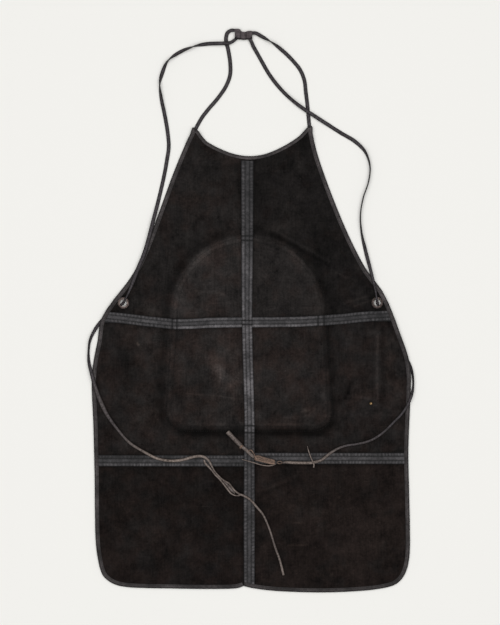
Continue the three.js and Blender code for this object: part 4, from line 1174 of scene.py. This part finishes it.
def binding_mesh(name, rim, top, bottom, wall, reach):
    """Leather folded over an edge, as a closed strip of one wall thickness."""
    half = np.array(BINDING_OUTSIDE)
    outside = np.vstack([half * (reach, 1), (half * (1, -1) + (0, 1))[::-1][1:]])
    inward = left_of(rim)
    pucker = 0.16 * MM * np.sin(run_lengths(rim) * 2 * math.pi / (7.4 * MM) + 3 * ripple(rim, 50 * MM, 3))
    hem = ramp(-rim[:, 1], 0.42, 0.44)
    # Painted sheen along the fold's crest, weaker at the hem; where it fades towards the rim and the inner
    # side, the dark colour stands as painted shade
    painted_sheen = 0.87 * (0.75 + 0.35 * ripple(rim, 45 * MM, 6)) * (1 - 0.28 * hem)
    places, crest = [], []
    for k, (out, share) in enumerate(outside):
        upper = k <= len(outside) // 2
        height = bottom + (top - bottom) * share + upper * pucker * hump(out - 4.5, 2.5)
        places.append(np.column_stack([rim + inward * (out * MM), height]))
        crest.append(upper * painted_sheen * hump(out - 5.2, 4))
    for out, share in outside[::-1]:
        height = np.clip(bottom + (top - bottom) * share, bottom + wall, top - wall)
        places.append(np.column_stack([rim + inward * max(out * MM, wall), height]))
        crest.append(0 * painted_sheen)
    ring, count = len(places), len(rim)
    faces = ring_faces(count, ring)
    pairs = [(i, ring - 1 - i) for i in range(ring // 2)]
    last = (count - 1) * ring
    for (a, b), (c, d) in zip(pairs, pairs[1:]):
        faces += [(a, c, d, b), (last + a, last + b, last + d, last + c)]
    crest = np.clip(np.stack(crest, axis=1).ravel(), 0, 1.2)
    data = smooth_mesh(name, np.stack(places, axis=1).reshape(-1, 3), faces, {"crest": crest})
    data.set_sharp_from_angle(angle=SHARP_FOLD)
    return data


class APRON_OT_bindings(bpy.types.Operator):
    """Folds the thin leather binding round the rim"""

    bl_idname = "apron.bindings"
    bl_label = "Bindings"

    def execute(self, context):
        sizes = context.scene.apron_sizes
        for name in BINDINGS:
            rim, reach = even_rim(name, BINDING_STEP), 1.0
            if name == "binding_neck":
                rim, reach = inset_chain(rim[1:-1], -NECK_OUT), NECK_REACH
            inner = inset_chain(rim, BINDING_SEAT)
            tree = solid_tree(name)
            top, bottom = met_heights(tree, inner), met_heights(tree, inner, -1)
            data = binding_mesh(f"{name}_leather", rim, top, bottom, sizes.binding_thickness, reach)
            piece = add_piece(data, "binding_cowhide", "binding_leather", name)
        return {"FINISHED"}


# Eyelets and rivet

# How bright each eyelet is rubbed
EYELET_SHINE = {"eyelet_left": 1.0, "eyelet_right": 0.6}
EYELET_HOLE = 6.9 * MM
EYELET_CROWN = 1.1 * MM
EYELET_ROLL = 1.4 * MM
EYELET_SIDES = 64
FLANGE_PAST = 0.3 * MM  # how far the flange comes past its solid
RIVET_CROWN = 1.1 * MM
RIVET_TIP = 0.1 * MM
RIVET_SIDES = 24


def turned_mesh(name, profile, centre, sides):
    """A round upright piece, turned from a closed profile of radius, height and share of bare metal."""
    angles = np.arange(sides) * 2 * math.pi / sides
    x, y = centre[:2]
    places = [(x + r * math.cos(a), y + r * math.sin(a), z) for a in angles for r, z, _ in profile]
    bare = [share for _ in angles for *_, share in profile]
    return smooth_mesh(name, places, ring_faces(sides, len(profile), closed=True), {"bare": bare})


def eyelet_profile(name, shine):
    """Flange, rolled bead and back of an eyelet."""
    low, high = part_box(name)
    radius = (high.x - low.x) / 2 + FLANGE_PAST
    seat = high.z - EYELET_CROWN
    bead = []
    for angle in np.linspace(0.05, math.pi, 13):
        out, up = math.cos(angle), math.sin(angle)
        bead.append((EYELET_HOLE + EYELET_ROLL * (1 + out), seat + EYELET_CROWN * up, shine * up**0.5))
    return [
        (radius, seat - 0.3 * MM, 0.4 * shine),
        (radius - 0.3 * MM, seat + 0.1 * MM, 0.8 * shine),
        (EYELET_HOLE + 2 * EYELET_ROLL + 0.3 * MM, seat, 0.1),
        *bead,
        (EYELET_HOLE, low.z + 0.4 * MM, 0),
        (EYELET_HOLE + 0.5 * MM, low.z, 0.4),
        (radius - 1 * MM, low.z, 0.4),
        (radius - 1 * MM, low.z + 0.6 * MM, 0.2),
    ]


def rivet_profile(name):
    """Shank and domed head of the rivet."""
    low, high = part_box(name)
    radius = (high.x - low.x) / 2
    seat = high.z - RIVET_CROWN
    shank = [(RIVET_TIP, low.z, 0.3), (radius / 2, low.z, 0.3), (radius / 2, seat, 0.3)]
    dome = [(radius * math.cos(a), seat + RIVET_CROWN * math.sin(a), 1) for a in np.linspace(0, 1.45, 7)]
    return [*shank, *dome, (RIVET_TIP, high.z, 1)]


class APRON_OT_metal(bpy.types.Operator):
    """Adds the rolled eyelets and the small rivet at the pocket"""

    bl_idname = "apron.metal"
    bl_label = "Eyelets and rivet"

    def execute(self, context):
        for name, shine in EYELET_SHINE.items():
            data = turned_mesh(f"{name}_ring", eyelet_profile(name, shine), node_middle(name), EYELET_SIDES)
            add_piece(data, "aged_copper", "aged_brass", name)
        rivet = "pocket_rivet"
        data = turned_mesh(f"{rivet}_head", rivet_profile(rivet), node_middle(rivet), RIVET_SIDES)
        add_piece(data, "rubbed_brass", "aged_brass", rivet)
        return {"FINISHED"}


# Tie ends

# Wrapped knot on the right tie, in millimetres: ends of its axis, and half width and height at shares of it
KNOT_ENDS = ((47, -205.2), (6.4, -196))
KNOT_SHAPE = (
    (0, 2.6, 1.4), (0.06, 4.8, 2.2), (0.3, 5.2, 2.4), (0.6, 5, 2.4), (0.88, 5.4, 2.6), (0.96, 4.6, 2.2),
    (1, 3, 1.6),
)
KNOT_SIDES = 20
# Strands at the knot, as places and heights: two along it, the curl over its head
KNOT_STRANDS = (
    ((8, -194.2, 9.4), (13, -193, 10.6), (22, -195.8, 11), (34, -199, 10.8), (45, -201.8, 9.8)),
    ((8.6, -199.6, 9.6), (18, -201.8, 10.8), (30, -204.8, 10.8), (40, -207, 10.4), (46.6, -207.4, 9.2)),
)
KNOT_CURL = (
    (-5.6, -184.5, 8), (-4, -181.4, 9), (-0.5, -181, 9.6), (3.5, -185.5, 10), (6.5, -191, 10), (8, -197, 9),
)
KNOT_EYE = {"across": 56.6, "up": -205.6, "height": 9.4, "half_length": 4.8, "half_width": 2.5}
# Place where the outer fold of the end strap is cut off, heading along the strap, and its height
FOLD_EDGE = ((-18.6, -175.6, 8.2), (-21.4, -173, 8.2))


def joined_mesh(name, meshes):
    """One mesh out of several strap meshes, which are removed."""
    places, faces, marks = [], [], {"side": [], "wear": []}
    for data in meshes:
        start = len(places)
        places += [v.co[:] for v in data.vertices]
        faces += [tuple(start + i for i in p.vertices) for p in data.polygons]
        for mark, values in marks.items():
            values += [entry.value for entry in data.attributes[mark].data]
        bpy.data.meshes.remove(data)
    return smooth_mesh(name, places, faces, marks)


def strand(places, width, thickness, wear):
    """A thin strand through places in millimetres, with its width and thickness in millimetres too."""
    centres = smooth_rows(np.array(places) * MM, 0.8 * MM)
    count = len(centres)
    across, over = strap_frames(centres, np.zeros(count))
    widths, worn = np.full(count, width * MM), np.full(count, wear)
    return ribbon("strand", centres, across, over, widths, thickness * MM, worn)


def knot_core():
    """The thick middle of the knot, oval across its axis."""
    ends = np.array(KNOT_ENDS) * MM
    at, wide, tall = np.array(KNOT_SHAPE).T
    axis = np.append(ends[1] - ends[0], 0)
    side = np.cross(axis / np.linalg.norm(axis), UP)
    start = np.append(ends[0], node_middle("tie_knot")[2])
    shares = np.concatenate([[0, 0.015, 0.03], np.linspace(0.06, 0.94, 20), [0.97, 0.985, 1]])
    places = []
    for share in shares:
        out, up = side * np.interp(share, at, wide) * MM, UP * np.interp(share, at, tall) * MM
        for angle in np.arange(KNOT_SIDES) * 2 * math.pi / KNOT_SIDES:
            places.append(start + axis * share + out * math.cos(angle) + up * math.sin(angle))
    last = len(places) - KNOT_SIDES
    faces = ring_faces(len(shares), KNOT_SIDES)
    faces += [tuple(range(KNOT_SIDES)), tuple(last + i for i in reversed(range(KNOT_SIDES)))]
    return smooth_mesh("core", places, faces, {"side": [0.35] * len(places), "wear": [0.5] * len(places)})


def knot_mesh(name):
    """A core with two strands laid over it, a curl, an eye and the cut edge of the end strap's fold."""
    eye = KNOT_EYE
    ring = []
    for angle in np.linspace(0, 2 * math.pi, 25):
        across = eye["across"] + eye["half_length"] * math.cos(angle)
        ring.append((across, eye["up"] + eye["half_width"] * math.sin(angle), eye["height"]))
    strands = [strand(places, 4.8, 2, 0.9) for places in KNOT_STRANDS]
    trims = [strand(KNOT_CURL, 2.6, 1.4, 0.6), strand(ring, 1.8, 1.6, 0.5), strand(FOLD_EDGE, 10.2, 2.9, 0.1)]
    return joined_mesh(name, [knot_core(), *strands, *trims])


class APRON_OT_tie_ends(bpy.types.Operator):
    """Makes the wrapped knot, the doubled strand and the thin laces of the ties"""

    bl_idname = "apron.tie_ends"
    bl_label = "Tie ends"

    def execute(self, context):
        sizes = context.scene.apron_sizes
        looks = ("strap_cowhide", "tie_leather")
        for name in ("knot_lace", "side_lace"):
            data, _ = lay_strap(name, STRAP_ROUTES[name], sizes.lace_thickness, TIE_STEP)
            add_piece(data, *looks, name)
        second, _ = lay_strap("tie_splice", STRAP_ROUTES["tie_splice"], sizes.thong_thickness, TIE_STEP)
        web, _ = lay_strap("tie_splice", SPLICE_WEB, WEB_SHARE * sizes.thong_thickness, TIE_STEP)
        add_piece(joined_mesh("tie_splice_leather", [second, web]), *looks, "tie_splice")
        add_piece(knot_mesh("tie_knot_wraps"), "knot_rawhide", "tie_leather", "tie_knot")
        data, line = lay_strap("tie_end", STRAP_ROUTES["tie_end"], sizes.thong_thickness, TIE_STEP)
        piece = add_piece(data, *looks, "tie_end")
        return {"FINISHED"}


# Straps

# Each long strap: slot, length and width in metres, what ends it, pieces that go with it
LONG_STRAPS = {
    "neck_loop": ("thong_leather", 0.549, 0.008, "object", []),
    "shoulder_thong": ("thong_leather", 1.32, 0.008, "object", ["keeper_wrap"]),
    "left_tie": ("tie_leather", 0.785, 0.0065, "bare", ["tie_splice_leather"]),
    "right_tie": (
        "tie_leather", 0.529, 0.0065, "knot", ["tie_knot_wraps", "knot_lace_leather", "side_lace_leather"],
    ),
}
# Eyelets that a strap comes out of at its start and goes into at its end
STRAP_EYELETS = {
    "shoulder_thong": ("eyelet_left", "eyelet_right"),
    "left_tie": ("eyelet_left",),
    "right_tie": ("eyelet_right",),
}


class APRON_OT_straps(bpy.types.Operator):
    """Lays the neck loop, the shoulder thong and the two ties along their routes"""

    bl_idname = "apron.straps"
    bl_label = "Straps"

    def execute(self, context):
        sizes = context.scene.apron_sizes
        for name, (slot, length, width, end, others) in LONG_STRAPS.items():
            rows = STRAP_ROUTES[name]
            eyelets = STRAP_EYELETS.get(name, ())
            for eyelet in eyelets[:1]:
                rows = (*dive_rows(eyelet, rows[0]), *rows)
            for eyelet in eyelets[1:]:
                rows = (*rows, *reversed(dive_rows(eyelet, rows[-1])))
            data, line = lay_strap(name, rows, sizes.thong_thickness, sizes.strap_step)
            piece = add_piece(data, "strap_cowhide", slot, name)
        return {"FINISHED"}


# Keeper

# Along the keeper: share of its length, then upper edge, lower edge and half thickness in millimetres
KEEPER_SHAPE = (
    (0, 10.2, -9.6, 2.9), (0.04, 11, -10, 3.2), (0.22, 10.9, -10.4, 3.3), (0.31, 9.6, -10.6, 3.1),
    (0.36, 6.4, -10.6, 2.5), (0.42, 5.2, -11, 2.7), (0.52, 4.6, -11.2, 2.8), (0.62, 4.8, -11, 2.6),
    (0.68, 5.8, -10.6, 2.4), (0.75, 6.6, -10.6, 3), (0.9, 6.8, -10.4, 3.2), (0.97, 6.6, -10, 3),
    (1, 6, -9.6, 2.7),
)
KEEPER_STEPS = 60
KEEPER_SIDES = 40
KEEPER_WALL = 0.7 * MM
KEEPER_HOLLOW = 1.5 * MM  # half height of the room inside for the straps


def keeper_ring(share, inside):
    """Places from the keeper's middle and painted shade round a section at a share of its length: darker at
    the pinches, the ends and the lower edge, lighter and darker along the pleats.
    """
    at, *columns = np.array(KEEPER_SHAPE).T
    upper, lower, tall = (np.interp(share, at, column) * MM for column in columns)
    pinch = hump(share - 0.35, 0.04) + hump(share - 0.66, 0.04)
    pleat = hump(share - 0.51, 0.13) * math.sin(share * 2 * math.pi * 11)
    ends = hump(share, 0.14) + hump(share - 1, 0.14)
    wide, tall = (upper - lower) / 2, tall + 0.25 * MM * pleat
    if inside:
        wide, tall = wide - KEEPER_WALL, KEEPER_HOLLOW
    angles = 2 * math.pi * np.arange(KEEPER_SIDES) / KEEPER_SIDES
    y, z = (np.copysign(np.abs(f(angles)) ** 0.6, f(angles)) for f in (np.cos, np.sin))
    shade = 0.72 - 0.5 * pinch + 0.25 * pleat
    shade = shade - 1.6 * ends * np.maximum(0, -y - 0.2) - 3.2 * np.maximum(0, -y - 0.64)
    places = np.column_stack([(upper + lower) / 2 + wide * y, tall * z])
    return places, np.zeros(KEEPER_SIDES) if inside else np.maximum(0, shade)


class APRON_OT_keeper(bpy.types.Operator):
    """Folds the leather keeper round the straps at the nape"""

    bl_idname = "apron.keeper"
    bl_label = "Keeper"

    def execute(self, context):
        low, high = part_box("keeper")
        middle = node_middle("keeper")
        shares = np.arange(KEEPER_STEPS) / (KEEPER_STEPS - 1)
        places, crest = [], []
        for share, inside in [*((s, False) for s in shares), *((s, True) for s in shares[::-1])]:
            ring, shade = keeper_ring(share, inside)
            x = low.x + (high.x - low.x) * share
            places += [(x, y, z) for y, z in ring + middle[1:]]
            crest += list(shade)
        faces = ring_faces(2 * KEEPER_STEPS, KEEPER_SIDES, closed=True)
        data = smooth_mesh("keeper_wrap", places, faces, {"crest": crest})
        data.set_sharp_from_angle(angle=SHARP_FOLD)
        add_piece(data, "keeper_cowhide", "thong_leather", "keeper")
        return {"FINISHED"}


# Stitches

STITCH_SLANT = 0.12  # radians to either side
STITCH_LIFT = 0.1 * MM  # of the thread's middle above the leather
UNDERSIDE_SINK = 0.15 * MM  # of the thread's middle into the lining


def stitch_tree():
    """Geometry nodes that set a thread stitch at even steps along every edge chain of a mesh."""
    tree = bpy.data.node_groups.new("stitch_rows", "GeometryNodeTree")
    kinds = {"Rows": "Geometry", "Pitch": "Float", "Length": "Float", "Width": "Float", "Seed": "Int"}
    for name, kind in {**kinds, "Thread": "Material"}.items():
        tree.interface.new_socket(name, in_out="INPUT", socket_type=f"NodeSocket{kind}")
    tree.interface.new_socket("Stitches", in_out="OUTPUT", socket_type="NodeSocketGeometry")
    given = add_node(tree, "NodeGroupInput").outputs

    def step(kind, inputs=None, **settings):
        return add_node(tree, kind, inputs, **settings).outputs[0]

    chain = step("GeometryNodeMeshToCurve", {"Mesh": given["Rows"]})
    points = step("GeometryNodeResampleCurve", {"Curve": chain, "Length": given["Pitch"]}, mode="LENGTH")
    heading = step("GeometryNodeInputTangent")
    lie = step("FunctionNodeAlignRotationToVector", {"Vector": heading}, axis="X")
    slants = {"Min": (0, 0, -STITCH_SLANT), "Max": (0, 0, STITCH_SLANT), "Seed": given["Seed"]}
    slant = step("FunctionNodeRandomValue", slants, data_type="FLOAT_VECTOR")
    turn = step("FunctionNodeRotateRotation", {"Rotation": lie, "Rotate By": slant}, rotation_space="LOCAL")
    stitch = step("GeometryNodeMeshUVSphere", {"Segments": 6, "Rings": 4, "Radius": 0.5})
    size = step("ShaderNodeCombineXYZ", {"X": given["Length"], "Y": given["Width"], "Z": given["Width"]})
    laid = {"Points": points, "Instance": stitch, "Rotation": turn, "Scale": size}
    sewn = step("GeometryNodeInstanceOnPoints", laid)
    real = step("GeometryNodeRealizeInstances", {"Geometry": sewn})
    soft = step("GeometryNodeSetShadeSmooth", {"Geometry": real})
    dressed = step("GeometryNodeSetMaterial", {"Geometry": soft, "Material": given["Thread"]})
    add_node(tree, "NodeGroupOutput", {"Stitches": dressed})
    return tree


def band_rows(name):
    """The stitch rows along and across a band, as chains in plan."""
    run, loop = BAND_RUN[name], plan_loops(name)[0]
    along = np.linspace(loop[:, run].min() + 4 * MM, loop[:, run].max() - 4 * MM, 160)
    low, high = band_edges(name, along)
    chains = [(along, (low + high + sign * BAND_ROW * (high - low)) / 2) for sign in (-1, 1)]
    for row in CROSS_ROWS.get(name, ()):
        low, high = (edge[0] for edge in band_edges(name, np.array([row * MM])))
        chains.append((np.full(10, row * MM), np.linspace(low + 1 * MM, high - 1 * MM, 10)))
    return [np.column_stack(chain[::-1] if run else chain) for chain in chains]


def kept_runs(chain, keep):
    """The lengths of a chain whose points are kept."""
    cuts = np.flatnonzero(np.diff(keep.astype(int))) + 1
    parts = zip(np.split(chain, cuts), np.split(keep, cuts))
    return [part for part, kept in parts if kept[0] and len(part) > 2]


def sewn_mesh(name, chains, nodes, settings):
    """Mesh of the stitches that geometry nodes set along chains of places."""
    places, edges = [], []
    for chain in chains:
        edges += [(len(places) + i, len(places) + i + 1) for i in range(len(chain) - 1)]
        places += chain.tolist()
    rows = bpy.data.meshes.new(f"{name}_rows")
    rows.from_pydata(places, edges, [])
    guide = add_object(f"{name}_rows", rows)
    sewing = guide.modifiers.new("sewing", "NODES")
    sewing.node_group = nodes
    for socket in nodes.interface.items_tree:
        if socket.name in settings:
            sewing[socket.identifier] = settings[socket.name]
    data = bpy.data.meshes.new_from_object(guide.evaluated_get(bpy.context.evaluated_depsgraph_get()))
    data.name = name
    bpy.data.objects.remove(guide)
    return data


class APRON_OT_stitches(bpy.types.Operator):
    """Sews the bands, the patch, the pocket and the binding with rows of thread"""

    bl_idname = "apron.stitches"
    bl_label = "Stitches"

    def execute(self, context):
        sizes = context.scene.apron_sizes
        tree = piece_tree([f"{n}_suede" for n in PANELS] + [f"{n}_leather" for n in (*BANDS, *BINDINGS)])
        patch = [inset_loop(plan_loops("back_patch")[0], row) for row in PATCH_ROWS]
        pocket = inset_loop(plan_loops("side_pocket")[0], POCKET_ROW)
        bare = [~np.any([inside_loops(row, plan_loops(band)) for band in BANDS], axis=0) for row in patch]
        groups = {
            "band_stitches": [row for name in BANDS for row in band_rows(name)],
            "patch_stitches": [part for row, keep in zip(patch, bare) for part in kept_runs(row, keep)],
            "pocket_stitches": [pocket],
            "binding_stitches": [inset_chain(even_rim(name, 3 * MM), BINDING_ROW)[3:-3] for name in BINDINGS],
            "underside_stitches": [*patch, pocket],
        }
        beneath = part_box("back_patch")[0].z + UNDERSIDE_SINK
        thread = {
            "Pitch": sizes.stitch_pitch,
            "Length": sizes.stitch_length,
            "Width": sizes.thread_width,
            "Thread": finish("waxed_thread"),
        }
        nodes = stitch_tree()
        for seed, (name, rows) in enumerate(groups.items()):
            chains = []
            for row in rows:
                under = name == "underside_stitches"
                heights = np.full(len(row), beneath) if under else met_heights(tree, row) + STITCH_LIFT
                chains.append(np.column_stack([row, heights]))
            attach(add_object(name, sewn_mesh(name, chains, nodes, {**thread, "Seed": seed})), "root")
        return {"FINISHED"}


class APRON_PT_pieces(bpy.types.Panel):
    """Lists the steps that dress the apron, with its sizes and colours"""

    bl_idname = "APRON_PT_pieces"
    bl_label = "Leather apron"
    bl_space_type = "VIEW_3D"
    bl_region_type = "UI"
    bl_category = "Apron"

    def draw(self, context):
        for step in STEPS:
            self.layout.operator(step.bl_idname)
        for group in (context.scene.apron_sizes, context.scene.apron_colours):
            for key in group.__annotations__:
                self.layout.prop(group, key)


STEPS = (
    APRON_OT_stage,
    APRON_OT_tie_ends,
    APRON_OT_keeper,
    APRON_OT_straps,
    APRON_OT_underside,
    APRON_OT_panels,
    APRON_OT_bands,
    APRON_OT_bindings,
    APRON_OT_metal,
    APRON_OT_stitches,
)
CLASSES = (ApronSizes, ApronColours, *STEPS, APRON_PT_pieces)


def register():
    for each in CLASSES:
        bpy.utils.register_class(each)
    bpy.types.Scene.apron_sizes = bpy.props.PointerProperty(type=ApronSizes)
    bpy.types.Scene.apron_colours = bpy.props.PointerProperty(type=ApronColours)


def unregister():
    del bpy.types.Scene.apron_colours
    del bpy.types.Scene.apron_sizes
    for each in reversed(CLASSES):
        bpy.utils.unregister_class(each)


def main():
    register()
    for step in STEPS:
        group, name = step.bl_idname.split(".")
        getattr(getattr(bpy.ops, group), name)()


if __name__ == "__main__":
    main()
